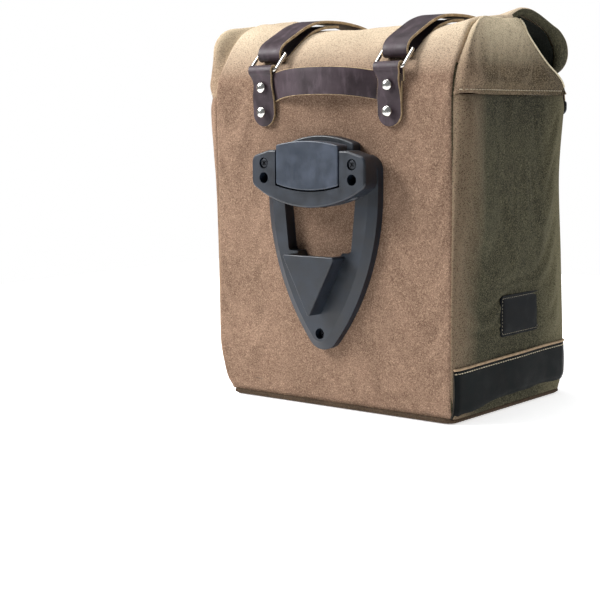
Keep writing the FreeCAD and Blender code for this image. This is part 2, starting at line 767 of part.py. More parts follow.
def plate_outline(inset, depth):
    """Shield outline: straight sides, two long flank arcs and a round toe."""
    half = dim("plate_half") - inset
    flank = dim("plate_side") - inset
    shoulder = dim("plate_shoulder")
    offset = flank - half
    toe_low = dim("plate_foot") + inset
    drop = shoulder - toe_low
    toe = (flank ** 2 - offset ** 2 - drop ** 2) / (2 * (flank - drop))
    toe_z = toe_low + toe
    reach = math.hypot(offset, shoulder - toe_z)
    touch = Vector(flank * offset / reach - offset, -depth, shoulder - flank * (shoulder - toe_z) / reach)
    middle = math.atan2(shoulder - toe_z, offset) / 2
    flank_mid = Vector(flank * math.cos(middle) - offset, -depth, shoulder - flank * math.sin(middle))

    def flip(point):
        return Vector(-point.x, point.y, point.z)

    top = dim("plate_top") - inset
    corner = dim("plate_corner") - inset
    slack = corner * (1 - math.sqrt(0.5))
    corner_top = Vector(half - corner, -depth, top)
    corner_mid = Vector(half - slack, -depth, top - slack)
    corner_right = Vector(half, -depth, top - corner)
    hip_right = Vector(half, -depth, shoulder)
    return Part.Wire([
        Part.LineSegment(flip(corner_top), corner_top).toShape(),
        Part.Arc(corner_top, corner_mid, corner_right).toShape(),
        Part.LineSegment(corner_right, hip_right).toShape(),
        Part.Arc(hip_right, flank_mid, touch).toShape(),
        Part.Arc(touch, Vector(0, -depth, toe_low), flip(touch)).toShape(),
        Part.Arc(flip(touch), flip(flank_mid), flip(hip_right)).toShape(),
        Part.LineSegment(flip(hip_right), flip(corner_right)).toShape(),
        Part.Arc(flip(corner_right), flip(corner_mid), flip(corner_top)).toShape(),
    ])


TONGUE_TOP = 160.5
TONGUE_TIP = 97.0
TONGUE_HALF = 33.5
TONGUE_WALL = 3.6


def make_holder_plate():
    """Shield plate with its window, the rear arch behind the lever and the wedge tongue."""
    face = dim("mount_face")
    rim = face + dim("plate_rim")
    crown = face + dim("plate_crown")
    front = face + dim("plate_crown") + dim("head_depth")
    plate = Part.Face(plate_outline(0, face)).extrude(Vector(0, -dim("plate_rim"), 0))
    cap = Part.makeLoft([plate_outline(0, rim), plate_outline(9, crown)], True, True)
    plate = plate.fuse(cap).removeSplitter()
    # rear arch
    arch_half, arch_foot, arch_side, arch_top = 42.0, 255.0, 273.0, 281.0
    arch_edges = [
        Part.LineSegment(Vector(-arch_half, -face, arch_foot), Vector(-arch_half, -face, arch_side)).toShape(),
        Part.Arc(Vector(-arch_half, -face, arch_side), Vector(0, -face, arch_top),
                 Vector(arch_half, -face, arch_side)).toShape(),
        Part.LineSegment(Vector(arch_half, -face, arch_side), Vector(arch_half, -face, arch_foot)).toShape(),
        Part.LineSegment(Vector(arch_half, -face, arch_foot), Vector(-arch_half, -face, arch_foot)).toShape(),
    ]
    arch = Part.Face(Part.Wire(arch_edges)).extrude(Vector(0, face - crown + 2, 0))
    arch = round_edges(
        arch, 4, lambda edge: along(edge, Vector(0, 1, 0)) and edge.CenterOfMass.z > arch_side - 1)
    arch = round_edges(arch, 1.5, lambda edge: edge.BoundBox.YMax < 2 - crown + 1e-3
                       and edge.CenterOfMass.z > arch_foot + 1)
    plate = plate.fuse(arch)
    # window behind and under the head
    window = front_solid(mirrored([(48.0, 240.0), (45.0, 211.0), (40.0, 163.0)]), face - 1, crown + 8)
    window = round_edges(window, 4, lambda edge: along(edge, Vector(0, 1, 0)))
    plate = plate.cut(window)
    # tongue: hollow wedge, open at its top and behind
    slant = math.hypot(TONGUE_HALF, TONGUE_TOP - TONGUE_TIP)
    inset = TONGUE_WALL * slant / (TONGUE_TOP - TONGUE_TIP)
    lift = TONGUE_WALL * slant / TONGUE_HALF
    wedge = front_solid([(-TONGUE_HALF, TONGUE_TOP), (TONGUE_HALF, TONGUE_TOP), (0, TONGUE_TIP)],
                        crown - 5, front - 0.5)
    wedge = round_edges(wedge, 2, lambda edge: along(edge, Vector(0, 1, 0)))
    wedge = round_edges(wedge, 1.2, lambda edge: edge.BoundBox.YMax < 0.51 - front)
    hollow = front_solid([(inset - TONGUE_HALF, TONGUE_TOP + 4), (TONGUE_HALF - inset, TONGUE_TOP + 4),
                          (0, TONGUE_TIP + lift)], face - 1, front - 5)
    plate = plate.fuse(wedge).cut(hollow)
    # screw holes, with a counterbore for the lower screw
    for hole in holder_holes(0.1, face - 1, front):
        plate = plate.cut(hole)
    seat = face + dim("plate_seat")
    plate = plate.cut(front_cylinder(0, dim("plate_screw_height"), dim("screw_sink"), seat, front))
    spread = dim("screw_spread") / 2
    for side in (-1, 1):
        hole = front_cylinder(side * spread, dim("through_height"), dim("screw_sink"), face - 1, front)
        plate = plate.cut(hole)
    shape_node("holder_plate", plate)


PIN = (-134.0, 236.0)
CLAW_WIDTH = 22.0


def arched_block(half, side_low, middle_low, side_high, middle_high, near, far):
    """Prism with an arched top and bottom between two depths in front of the origin."""
    edges = [
        Part.Arc(Vector(-half, -near, side_low), Vector(0, -near, middle_low), Vector(half, -near, side_low)).toShape(),
        Part.LineSegment(Vector(half, -near, side_low), Vector(half, -near, side_high)).toShape(),
        Part.Arc(Vector(half, -near, side_high), Vector(0, -near, middle_high),
                 Vector(-half, -near, side_high)).toShape(),
        Part.LineSegment(Vector(-half, -near, side_high), Vector(-half, -near, side_low)).toShape(),
    ]
    return Part.Face(Part.Wire(edges)).extrude(Vector(0, near - far, 0))


def make_holder_head():
    """Head housing: jaw for the carrier's bar below, pocket for the lever above."""
    near = dim("mount_face") + dim("plate_crown")
    far = near + dim("head_depth")
    half = dim("head_half")

    def spot(x, z):
        return Vector(x, -near, z)

    right = [spot(50, 266.5), spot(half, 260), spot(half, 231), spot(58, 222.5)]
    left = [Vector(-point.x, point.y, point.z) for point in reversed(right)]
    edges = [Part.LineSegment(a, b).toShape() for a, b in zip(right, right[1:])]
    edges.append(Part.Arc(right[-1], spot(0, 209), left[0]).toShape())
    edges += [Part.LineSegment(a, b).toShape() for a, b in zip(left, left[1:])]
    edges.append(Part.LineSegment(left[-1], right[0]).toShape())
    head = Part.Face(Part.Wire(edges)).extrude(Vector(0, near - far, 0))
    head = round_edges(
        head, 8, lambda edge: along(edge, Vector(0, 1, 0)) and abs(edge.CenterOfMass.x) > half - 1)
    head = round_edges(head, 2.2, lambda edge: edge.BoundBox.YMax < -far + 1e-3)
    # lever pocket: full depth above the back wall's top, a back wall below it
    gap = dim("lever_half") + 1.5
    head = head.cut(arched_block(gap, 230.5, 225.0, 300, 304, near + 3, far + 1))
    head = head.cut(Part.makeBox(2 * gap, 6, 60, Vector(-gap, -near - 4, 250)))
    # jaw for the bar: round above, open below
    jaw_y = -(near + 3 + dim("jaw_radius"))
    jaw_end = Vector(-half - 2, jaw_y, dim("jaw_height"))
    jaw = Part.makeCylinder(dim("jaw_radius"), 2 * half + 4, jaw_end, Vector(1, 0, 0))
    throat = Part.makeBox(2 * half + 4, 2 * dim("jaw_radius"), 20,
                          Vector(-half - 2, jaw_y - dim("jaw_radius"), dim("jaw_height") - 20))
    head = head.cut(jaw).cut(throat)
    # slot for the claw
    head = head.cut(Part.makeBox(26, 6, 45, Vector(-13, -near - 5, 200)))
    head = head.cut(Part.makeCylinder(dim("pin_radius") + 0.03, 93, Vector(-46.5, *PIN), Vector(1, 0, 0)))
    spread = dim("screw_spread") / 2
    for side in (-1, 1):
        x, sink = side * spread, dim("screw_sink")
        head = head.cut(front_cylinder(x, dim("head_screw_height"), dim("screw_radius") + 0.1, near - 1, far + 1))
        head = head.cut(front_cylinder(x, dim("head_screw_height"), sink, far - dim("head_seat"), far + 1))
        head = head.cut(front_cylinder(x, dim("through_height"), sink, near - 1, far + 1))
    shape_node("holder_head", head)


def make_release_lever():
    """Sprung block in the head: pull its top outwards and the claw lets the bar go."""
    near = dim("mount_face") + dim("plate_crown")
    far = near + dim("head_depth") + 0.6
    block = arched_block(dim("lever_half"), 232.0, 226.5, 271.5, 276.0, near + 5, far)
    block = round_edges(block, 2.5, lambda edge: along(edge, Vector(0, 1, 0)))
    block = round_edges(block, 1.2, lambda edge: edge.BoundBox.YMax < -far + 1e-3)
    root = Part.makeBox(CLAW_WIDTH, 3.3, 8, Vector(-CLAW_WIDTH / 2, -near - 6, 230))
    lever = block.fuse(root).removeSplitter()
    lever = lever.cut(Part.makeCylinder(dim("pin_radius") + 0.06, 90, Vector(-45, *PIN), Vector(1, 0, 0)))
    lever = lever.cut(Part.makeCylinder(4.6, 14, Vector(-7, *PIN), Vector(1, 0, 0)))
    shape_node("release_lever", lever)


def make_lever_claw():
    """Steel hook on the lever's root: it holds the bar from behind and from below."""
    near = dim("mount_face") + dim("plate_crown")
    width, toe_low, toe_high = CLAW_WIDTH, 209.0, 210.8
    shank = Part.makeBox(width, 2.4, 238 - toe_high, Vector(-width / 2, -near - 2.7, toe_high))
    toe = Part.makeBox(width, 7.7, toe_high - toe_low, Vector(-width / 2, -near - 8, toe_low))
    shape_node("lever_claw", shank.fuse(toe).removeSplitter())


def make_lever_pin_and_spring():
    pin = cylinder_object("pin_rod", "Dims.pin_radius", "92", Vector(-46, *PIN), Vector(1, 0, 0))
    keep(pin, "lever_pin")
    coil = Part.makeHelix(1.6, 9.6, 3.2)
    coil_wire = Part.Wire(coil.Edges)
    start = coil.Edges[0].valueAt(coil.Edges[0].FirstParameter)
    heading = coil.Edges[0].tangentAt(coil.Edges[0].FirstParameter)
    section = Part.Wire(Part.makeCircle(0.5, start, heading))
    spring = coil_wire.makePipeShell([section], True, True)
    spring.rotate(Vector(0, 0, 0), Vector(0, 1, 0), 90)
    spring.translate(Vector(-4.8, *PIN))
    shape_node("lever_spring", spring)


CROSS_LENGTH = 5.2
CROSS_WIDTH = 1.2


def cross_screw(x, z, seat, tail):
    """Pan-head cross-recess screw along Y, its head's underside at the seat depth."""
    head = front_cylinder(x, z, dim("screw_cap"), seat, seat + 2.6)
    head = round_edges(head, 1.2, lambda edge: abs(edge.CenterOfMass.y + seat + 2.6) < 1e-3)
    shank = front_cylinder(x, z, dim("screw_radius"), tail, seat)
    screw = head.fuse(shank).removeSplitter()
    for angle in (45, 135):
        corner = Vector(x - CROSS_LENGTH / 2, -seat - 4, z - CROSS_WIDTH / 2)
        slot = Part.makeBox(CROSS_LENGTH, 3, CROSS_WIDTH, corner)
        slot.rotate(Vector(x, 0, z), Vector(0, 1, 0), angle)
        screw = screw.cut(slot)
    return screw


def make_fasteners():
    face = dim("mount_face")
    far = face + dim("plate_crown") + dim("head_depth")
    inside = face - 2 * cloth - 1.5
    spread = dim("screw_spread") / 2
    head_z, plate_z = dim("head_screw_height"), dim("plate_screw_height")
    upper = [cross_screw(side * spread, head_z, far - dim("head_seat"), inside - 4.5) for side in (-1, 1)]
    shape_node("head_screws", Part.makeCompound(upper))
    shape_node("plate_screw", cross_screw(0, plate_z, face + dim("plate_seat"), inside - 4.5))
    nuts = []
    for x, z in ((-spread, head_z), (spread, head_z), (0.0, plate_z)):
        corners = [(x + 4.6 * math.cos(math.radians(a)), z + 4.6 * math.sin(math.radians(a)))
                   for a in range(0, 360, 60)]
        nut = front_solid(corners, inside - 4, inside)
        nuts.append(nut.cut(front_cylinder(x, z, dim("screw_radius") + 0.05, inside - 5, inside + 1)))
    shape_node("holder_nuts", Part.makeCompound(nuts))


def make_backing_plate():
    """Metal plate inside the bag that spreads the screws' load."""
    plate = box_object("backing_block", {
        "Length": "Dims.screw_spread + 24",
        "Width": "1.5",
        "Height": "200",
        "Placement.Base.x": "-Dims.screw_spread / 2 - 12",
        "Placement.Base.y": "2 * Dims.cloth_thick - Dims.mount_face",
        "Placement.Base.z": "67",
    })
    spread = dim("screw_spread") / 2
    tools = [cylinder_object(f"backing_hole_{number}", "Dims.screw_radius + 0.1", "8", Vector(x, -98, z),
                             Vector(0, -1, 0))
             for number, (x, z) in enumerate(((-spread, dim("head_screw_height")),
                                              (spread, dim("head_screw_height")),
                                              (0.0, dim("plate_screw_height"))))]
    keep(cut_object("backing_cut", plate, tools), "backing_plate")


# ---------------------------------------------------------------- build everything

make_mounting_panel()
make_outer_panel()
make_outer_collar()
make_gussets()
make_base_panel()
make_stiffener_board()
make_bands()
make_label_patch()
make_tabs()
make_tab_rivets()
make_handle()
make_rings()
make_flap()
make_straps()
make_anchors()
make_corner_rings()
make_holder_plate()
make_holder_head()
make_release_lever()
make_lever_claw()
make_lever_pin_and_spring()
make_fasteners()
make_backing_plate()

doc.recompute()
problems = []
for item in doc.Objects:
    if any(state in ("Invalid", "Error") for state in item.State):
        problems.append(f"{item.Label}: {item.State}")
for item in nodes:
    if item.Shape.isNull() or not item.Shape.isValid() or not item.Shape.Solids:
        problems.append(f"{item.Label}: bad shape")
if problems:
    raise RuntimeError("; ".join(problems))

os.makedirs("parts", exist_ok=True)
for item in nodes:
    item.Shape.exportStep(os.path.join("parts", item.Label + ".step"))
print(len(nodes), "sub-parts written")
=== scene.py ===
import math

import bpy
import numpy as np
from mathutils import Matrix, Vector, noise


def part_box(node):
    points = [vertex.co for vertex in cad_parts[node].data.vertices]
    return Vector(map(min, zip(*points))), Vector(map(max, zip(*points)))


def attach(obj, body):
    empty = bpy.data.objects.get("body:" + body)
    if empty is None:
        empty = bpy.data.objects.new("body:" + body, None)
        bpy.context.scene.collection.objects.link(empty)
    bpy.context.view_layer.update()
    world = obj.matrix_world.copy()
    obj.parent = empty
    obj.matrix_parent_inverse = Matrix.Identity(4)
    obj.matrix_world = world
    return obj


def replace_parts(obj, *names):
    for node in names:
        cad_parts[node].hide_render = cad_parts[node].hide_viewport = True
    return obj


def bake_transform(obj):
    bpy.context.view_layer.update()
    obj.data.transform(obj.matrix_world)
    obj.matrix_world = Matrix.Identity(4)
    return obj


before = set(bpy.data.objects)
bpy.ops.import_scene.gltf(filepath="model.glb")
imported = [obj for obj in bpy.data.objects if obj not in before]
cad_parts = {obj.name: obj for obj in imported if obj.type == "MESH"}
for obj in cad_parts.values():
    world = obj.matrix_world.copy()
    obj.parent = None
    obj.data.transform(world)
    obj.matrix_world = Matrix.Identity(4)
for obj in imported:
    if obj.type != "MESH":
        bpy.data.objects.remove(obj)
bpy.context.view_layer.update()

# The looks of a roll-top bicycle pannier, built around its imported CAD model.
# Lengths in this script are millimetres, x across the bag, y away from the bicycle and z up.
# They become metres where a mesh is made.
MM = 0.001
SIDES = (("left", -1), ("right", 1))


def low(node):
    """The lowest corner of a CAD node's box."""
    return np.array(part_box(node)[0]) / MM


def high(node):
    """The highest corner of a CAD node's box."""
    return np.array(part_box(node)[1]) / MM


def middle(node):
    """The middle of a CAD node's box."""
    return (low(node) + high(node)) / 2


HALF_WIDTH = high("gusset_right")[0]
PANEL_Y = low("mounting_panel")[1]
SEAM_Z = high("gusset_right")[2]
BAND_LOW = low("band_right")[2]
BAND_HIGH = high("band_right")[2]
STRAP_X = middle("strap_right")[0]
STRAP_HALF = (high("strap_right") - low("strap_right"))[0] / 2
# The panels' side edges stand a little inside the gussets' outer face.
PANEL_HALF = HALF_WIDTH - 1.2
PANEL_COLUMNS = 97
CLOTH = 2.5
LIGHT_CLOTH = 2.2
LEATHER = 3.0
LIGHT_LEATHER = 2.8
# Which of a piece's materials is on its cut edges.
RAW_EDGE = 1


# -------- meshes

def mesh_object(name, points, faces, materials, face_materials=None):
    """A smooth-shaded mesh object from points in millimetres."""
    mesh = bpy.data.meshes.new(name)
    mesh.from_pydata([tuple(point) for point in np.asarray(points) * MM], [], faces)
    for material in materials:
        mesh.materials.append(material)
    if face_materials is not None:
        mesh.polygons.foreach_set("material_index", face_materials)
    mesh.polygons.foreach_set("use_smooth", [True] * len(mesh.polygons))
    mesh.update()
    piece = bpy.data.objects.new(name, mesh)
    bpy.context.scene.collection.objects.link(piece)
    return piece


def end_caps(count, around):
    """The faces that close both ends of a tube with count points."""
    return [tuple(reversed(range(around))), tuple(range(count - around, count))]


def grid_faces(rows, columns, closed=False):
    """Quads between the points of a grid, rows by columns; closed joins the last column to the first."""
    across = columns if closed else columns - 1
    faces = []
    for row in range(rows - 1):
        for column in range(across):
            after = (column + 1) % columns
            here = row * columns
            above = here + columns
            faces.append((here + column, here + after, above + after, above + column))
    return faces


def unit(rows):
    """The same directions, one in each row, with length 1."""
    return rows / np.linalg.norm(rows, axis=1)[:, None]


def run_of(path):
    """How far along a line each of its points is."""
    return np.concatenate(([0], np.cumsum(np.linalg.norm(np.diff(path, axis=0), axis=1))))


def at_x(x, line):
    """A line of (y, z) as points at one distance across the bag."""
    return np.column_stack((np.full(len(line), x), line))


def spline(points, count):
    """Points spaced evenly along a Catmull-Rom curve through the given points."""
    points = np.asarray(points, float)
    ends = np.vstack((2 * points[0] - points[1], points, 2 * points[-1] - points[-2]))
    fine = []
    steps = np.linspace(0, 1, 16, endpoint=False)[:, None]
    for a, b, c, d in zip(ends, ends[1:], ends[2:], ends[3:]):
        fine.append(0.5 * (2 * b + (c - a) * steps + (2 * a - 5 * b + 4 * c - d) * steps ** 2
                           + (3 * b - a - 3 * c + d) * steps ** 3))
    fine = np.vstack(fine + [points[-1:]])
    return evenly(fine, count)


def evenly(points, count):
    """The same line with count points at equal distances."""
    points = np.asarray(points, float)
    run = run_of(points)
    wanted = np.linspace(0, run[-1], count)
    return np.column_stack([np.interp(wanted, run, points[:, axis]) for axis in range(points.shape[1])])


def smooth(value, begin, finish):
    """0 before begin, 1 after finish, and a smooth step between them."""
    share = np.clip((value - begin) / (finish - begin), 0, 1)
    return share * share * (3 - 2 * share)


def hump(value, centre, width):
    """1 at centre, falling to nearly 0 two widths away."""
    return np.exp(-((value - centre) / width) ** 2)


def cloth_noise(points, size, amount, seed):
    """A smooth random height for each point, about amount millimetres for features of that size."""
    shift = Vector((seed * 7.3, seed * 3.1, seed * 5.7))
    return np.array([amount * noise.noise(Vector(point) / size + shift) for point in points])


def thicken(piece, thickness, offset, rim=True):
    """Gives an open sheet its thickness, with the raw edge of the material round it."""
    solid = piece.modifiers.new("thickness", "SOLIDIFY")
    solid.thickness = thickness * MM
    solid.offset = offset
    solid.use_rim = True
    if rim:
        solid.material_offset_rim = RAW_EDGE


# -------- materials

def colour(red, green, blue):
    """The linear colour of three values from 0 to 255."""
    linear = [((value / 255 + 0.055) / 1.055) ** 2.4 for value in (red, green, blue)]
    return (*linear, 1)


class Paint:
    """A material being built from nodes, with short names for the steps that repeat."""

    def __init__(self, name):
        """Begins with the plain shader and the object's own coordinates."""
        self.material = bpy.data.materials.new(name)
        self.material.use_nodes = True
        self.nodes = self.material.node_tree.nodes
        self.links = self.material.node_tree.links
        self.shader = self.nodes["Principled BSDF"]
        self.place = self.nodes.new("ShaderNodeTexCoord").outputs["Object"]

    def give(self, socket, value):
        """Puts a number or a colour on a socket, or links another node's output to it."""
        if isinstance(value, bpy.types.NodeSocket):
            self.links.new(value, socket)
        else:
            socket.default_value = value

    def node(self, kind, **inputs):
        """A new node with some of its inputs given by name."""
        node = self.nodes.new("ShaderNode" + kind)
        for name, value in inputs.items():
            self.give(node.inputs[name.replace("_", " ")], value)
        return node

    def stretch(self, x, y, z):
        """The object's own coordinates, stretched along each axis."""
        return self.node("Mapping", Scale=(x, y, z), Vector=self.place).outputs["Vector"]

    def along(self, axis):
        """How far a point is along one axis, in metres."""
        return self.node("SeparateXYZ", Vector=self.place).outputs[axis]

    def noise(self, size, detail=3, roughness=0.5, distortion=0, place=None):
        """Noise whose features are about size millimetres."""
        return self.node("TexNoise", Scale=1 / (size * MM), Detail=detail, Roughness=roughness,
                         Distortion=distortion, Vector=place or self.place).outputs["Fac"]

    def cells(self, size, feature="F1"):
        """Cells about size millimetres across."""
        node = self.node("TexVoronoi", Scale=1 / (size * MM), Vector=self.place)
        node.feature = feature
        return node.outputs["Distance"]

    def spread(self, value, low_in, high_in, low_out=0, high_out=1):
        """Maps one range onto another, held at its ends."""
        return self.node("MapRange", Value=value, From_Min=low_in, From_Max=high_in, To_Min=low_out,
                         To_Max=high_out).outputs["Result"]

    def add(self, first, second, share):
        """first + second times share."""
        node = self.node("Math")
        node.operation = "MULTIPLY_ADD"
        for socket, value in zip(node.inputs, (second, share, first)):
            self.give(socket, value)
        return node.outputs["Value"]

    def mix(self, factor, first, second):
        """A mix of two colours; each is three values from 0 to 255, a linear colour or an output."""
        node = self.node("Mix")
        node.data_type = "RGBA"
        self.links.new(factor, node.inputs["Factor"])
        for name, value in (("A", first), ("B", second)):
            if isinstance(value, tuple) and len(value) == 3:
                value = colour(*value)
            self.give(node.inputs[name], value)
        return node.outputs["Result"]

    def bump(self, value, depth, strength=1.0):
        """Bump of about depth millimetres; a second bump goes on top of the first."""
        node = self.node("Bump", Distance=depth * MM, Strength=strength, Height=value)
        socket = self.shader.inputs["Normal"]
        if socket.links:
            self.links.new(socket.links[0].from_socket, node.inputs["Normal"])
        self.links.new(node.outputs["Normal"], socket)

    def finish(self, base, rough, **numbers):
        """Sets the colour and roughness, and plain numbers for the shader's other sockets."""
        for name, value in (("Base_Color", base), ("Roughness", rough), *numbers.items()):
            self.give(self.shader.inputs[name.replace("_", " ")], value)
        return self.material


def suede(name, dark, main, pale, *tints):
    """Napped split leather: cloudy tone, a mottled nap and fine fibres.

    Each tint, (colour, axis, from, to, strength), comes in between two places along an axis, in millimetres;
    most tints given in this script are painted light and painted shade.
    """
    paint = Paint(name)
    clouds = paint.noise(52, detail=3, roughness=0.6)
    brushed = paint.noise(7, detail=4, roughness=0.65, distortion=0.6)
    nap = paint.noise(1.7, detail=3, roughness=0.7)
    fibres = paint.noise(0.95, detail=2, roughness=0.6)
    base = paint.mix(paint.spread(clouds, 0.2, 0.8), dark, main)
    base = paint.mix(paint.spread(brushed, 0.46, 0.76, 0, 0.28), base, pale)
    for tint, axis, begin, finish, strength in tints:
        share = paint.spread(paint.along(axis), begin * MM, finish * MM, 0, strength)
        base = paint.mix(share, base, tint)
    base = paint.mix(paint.spread(nap, 0.50, 0.66, 0, 0.5), base, pale)
    base = paint.mix(paint.spread(nap, 0.34, 0.48, 0.55, 0), base, dark)
    base = paint.mix(paint.spread(fibres, 0.52, 0.66, 0, 0.6), base, pale)
    base = paint.mix(paint.spread(fibres, 0.34, 0.48, 0.75, 0), base, dark)
    paint.bump(clouds, 0.9, 0.3)
    paint.bump(brushed, 0.35, 0.45)
    paint.bump(paint.add(nap, fibres, 0.8), 0.3, 0.85)
    return paint.finish(base, 0.93, Sheen_Weight=0.3, Sheen_Roughness=0.45, Specular_IOR_Level=0.12,
                        Sheen_Tint=colour(*pale))


def smooth_leather(name, dark, main, pale, rough, gloss):
    """Dyed bridle leather: even colour, fine pores, faint creases and a soft shine."""
    paint = Paint(name)
    clouds = paint.noise(22, detail=3)
    streaks = paint.noise(6, detail=4, roughness=0.6, place=paint.stretch(1, 0.35, 0.35))
    pores = paint.cells(0.9)
    creases = paint.cells(2.6, "DISTANCE_TO_EDGE")
    base = paint.mix(paint.spread(clouds, 0.35, 0.65), dark, main)
    base = paint.mix(paint.spread(streaks, 0.5, 0.78, 0, 0.5), base, pale)
    shine = paint.spread(paint.add(streaks, clouds, 0.5), 0.5, 0.95, rough - 0.08, rough + 0.12)
    paint.bump(clouds, 0.5, 0.3)
    paint.bump(paint.spread(creases, 0, 0.12), 0.06, 0.35)
    paint.bump(pores, 0.08, 0.4)
    return paint.finish(base, shine, Specular_IOR_Level=gloss, Coat_Weight=0.1 * gloss, Coat_Roughness=0.4)


def raw_edge(name, dark, pale):
    """The cut edge of leather: beige fibres with darker flecks."""
    paint = Paint(name)
    fibres = paint.noise(0.8, detail=3, roughness=0.7)
    clouds = paint.noise(6, detail=2)
    base = paint.mix(paint.spread(paint.add(fibres, clouds, 0.5), 0.55, 0.95), dark, pale)
    paint.bump(fibres, 0.15, 0.6)
    return paint.finish(base, 0.85, Specular_IOR_Level=0.25)


def moulded(name, main, pale, rough):
    """Glass-filled plastic with a fine spark-eroded grain."""
    paint = Paint(name)
    grain = paint.noise(0.45, detail=2, roughness=0.6)
    clouds = paint.noise(18, detail=3)
    scuffs = paint.noise(3.5, detail=5, roughness=0.75, place=paint.stretch(1, 1, 0.25))
    base = paint.mix(paint.spread(clouds, 0.4, 0.65), main, pale)
    shine = paint.spread(paint.add(clouds, scuffs, 0.7), 0.6, 1.1, rough - 0.07, rough + 0.1)
    paint.bump(clouds, 0.3, 0.12)
    paint.bump(grain, 0.05, 0.45)
    return paint.finish(base, shine, Specular_IOR_Level=0.55)


def polished(name, main, rough):
    """Plated metal with faint wear and hairline scratches."""
    paint = Paint(name)
    wear = paint.noise(2.2, detail=5, roughness=0.7)
    hairlines = paint.noise(1.2, detail=4, roughness=0.8, place=paint.stretch(0.12, 1, 1))
    tarnish = tuple(value * 0.62 for value in colour(*main)[:3]) + (1,)
    base = paint.mix(paint.spread(wear, 0.5, 0.8, 0, 0.6), main, tarnish)
    shine = paint.spread(hairlines, 0.35, 0.75, rough, rough + 0.16)
    paint.bump(hairlines, 0.03, 0.3)
    return paint.finish(base, shine, Metallic=1.0)


def twisted_thread(name, main, pale):
    """Waxed cream thread with its ply showing."""
    paint = Paint(name)
    ply = paint.noise(0.6, detail=2)
    base = paint.mix(paint.spread(ply, 0.4, 0.65), main, pale)
    paint.bump(ply, 0.1, 0.5)
    return paint.finish(base, 0.7, Sheen_Weight=0.2)


def woven_board(name, main, pale):
    """Fibre board and backing sheet."""
    paint = Paint(name)
    fibres = paint.noise(1.5, detail=4, roughness=0.7, place=paint.stretch(0.3, 1, 1))
    base = paint.mix(paint.spread(fibres, 0.4, 0.7), main, pale)
    paint.bump(fibres, 0.1, 0.5)
    return paint.finish(base, 0.75)


# The brown suede's one tint is a painted highlight: it grows pale towards the top of the crest and roll.
BROWN_SUEDE = suede("brown_suede", (90, 69, 56), (134, 108, 91), (174, 147, 124),
                    ((218, 203, 176), "Z", 338, 388, 0.9))
# The right gusset's suede below: a darker, greener copy of the brown suede, painted shade. Its tints paint a
# shadow under the cross seam and light towards its back and front edges, and darken it towards the bottom.
GUSSET_SHADED_SUEDE = suede("gusset_painted_shade_suede", (22, 22, 16), (62, 61, 47), (112, 107, 84),
                    ((8, 11, 10), "Z", 262, 316, 0.85), ((40, 40, 31), "Z", 150, 70, 0.6),
                    ((142, 134, 105), "Y", 52, 108, 0.6), ((142, 119, 99), "Y", -60, -106, 0.8))
# The right collar's suede below: a darker copy of the brown suede, painted shade. Its tints paint a
# highlight towards the top, deeper shade towards the back, and light towards the front edge.
RIGHT_COLLAR_SHADED = suede("right_collar_painted_shade", (38, 32, 24), (94, 81, 64), (152, 134, 108),
                     ((236, 220, 188), "Z", 346, 392, 0.95), ((30, 30, 22), "Y", 0, 80, 0.8),
                     ((152, 127, 108), "Y", -66, -106, 0.6))
# The left collar's suede below: a lighter copy of the brown suede, painted light, with a painted highlight
# towards the top.
LEFT_COLLAR_LIT = suede("left_collar_painted_light", (104, 84, 68), (150, 127, 105),
                          (186, 163, 137), ((214, 200, 170), "Z", 345, 396, 0.7))
BASE_SUEDE = suede("base_suede", (50, 40, 32), (74, 60, 48), (98, 82, 66))
# The turned edges' suede below: a darker, olive copy, painted shade.
RIM_SHADE_SUEDE = suede("rim_painted_shade", (30, 29, 22), (60, 58, 44), (102, 97, 74))
# The suede inside the roll's ends below: nearly black, painted shade.
INNER_SHADE_SUEDE = suede("inner_painted_shade", (14, 17, 16), (26, 29, 25), (46, 46, 38))
CUT_SUEDE = raw_edge("cut_suede", (132, 108, 84), (184, 160, 130))
# The mouth's edge below: a paler copy of the cut suede, painted light.
MOUTH_PIPING = raw_edge("mouth_piping", (188, 176, 146), (232, 222, 196))
BRIDLE = smooth_leather("brown_bridle_leather", (40, 30, 34), (62, 50, 56), (92, 77, 85),
                        rough=0.46, gloss=0.27)
BRIDLE_EDGE = raw_edge("cut_bridle_leather", (120, 96, 70), (196, 174, 138))
BAND_LEATHER = smooth_leather("band_leather", (5, 8, 9), (9, 15, 16), (22, 30, 31),
                              rough=0.48, gloss=0.06)
BAND_EDGE = raw_edge("cut_band_leather", (28, 27, 24), (58, 54, 46))
PATCH_LEATHER = smooth_leather("patch_leather", (8, 10, 12), (15, 18, 21), (32, 35, 38),
                               rough=0.6, gloss=0.08)
PLASTIC = moulded("holder_plastic", (13, 20, 29), (21, 30, 42), 0.42)
LEVER_PLASTIC = moulded("lever_plastic", (38, 46, 58), (48, 57, 72), 0.38)
NICKEL = polished("nickel_plate", (222, 220, 214), 0.14)
STEEL = polished("zinc_steel", (150, 152, 156), 0.32)
BLACK_STEEL = polished("blackened_steel", (58, 60, 64), 0.38)
THREAD = twisted_thread("cream_thread", (168, 154, 126), (214, 202, 176))
DULL_THREAD = twisted_thread("dull_thread", (98, 92, 78), (140, 132, 112))
BOARD = woven_board("fibre_board", (70, 62, 52), (96, 86, 72))
BACKING = woven_board("backing_sheet", (60, 62, 66), (84, 86, 90))


# -------- shape of the sewn bag

def soft_corner(points):
    """The bag's lower left corner has sagged in, on the bicycle's side."""
    points = np.array(points, float)
    x, y, z = points.T
    lean = np.clip(-x / HALF_WIDTH, 0, 1) ** 3
    points[:, 0] += 21 * lean * np.clip(1 - z / 66, 0, 1) ** 2.1 * (1 - smooth(y, -100, -20))
    return points


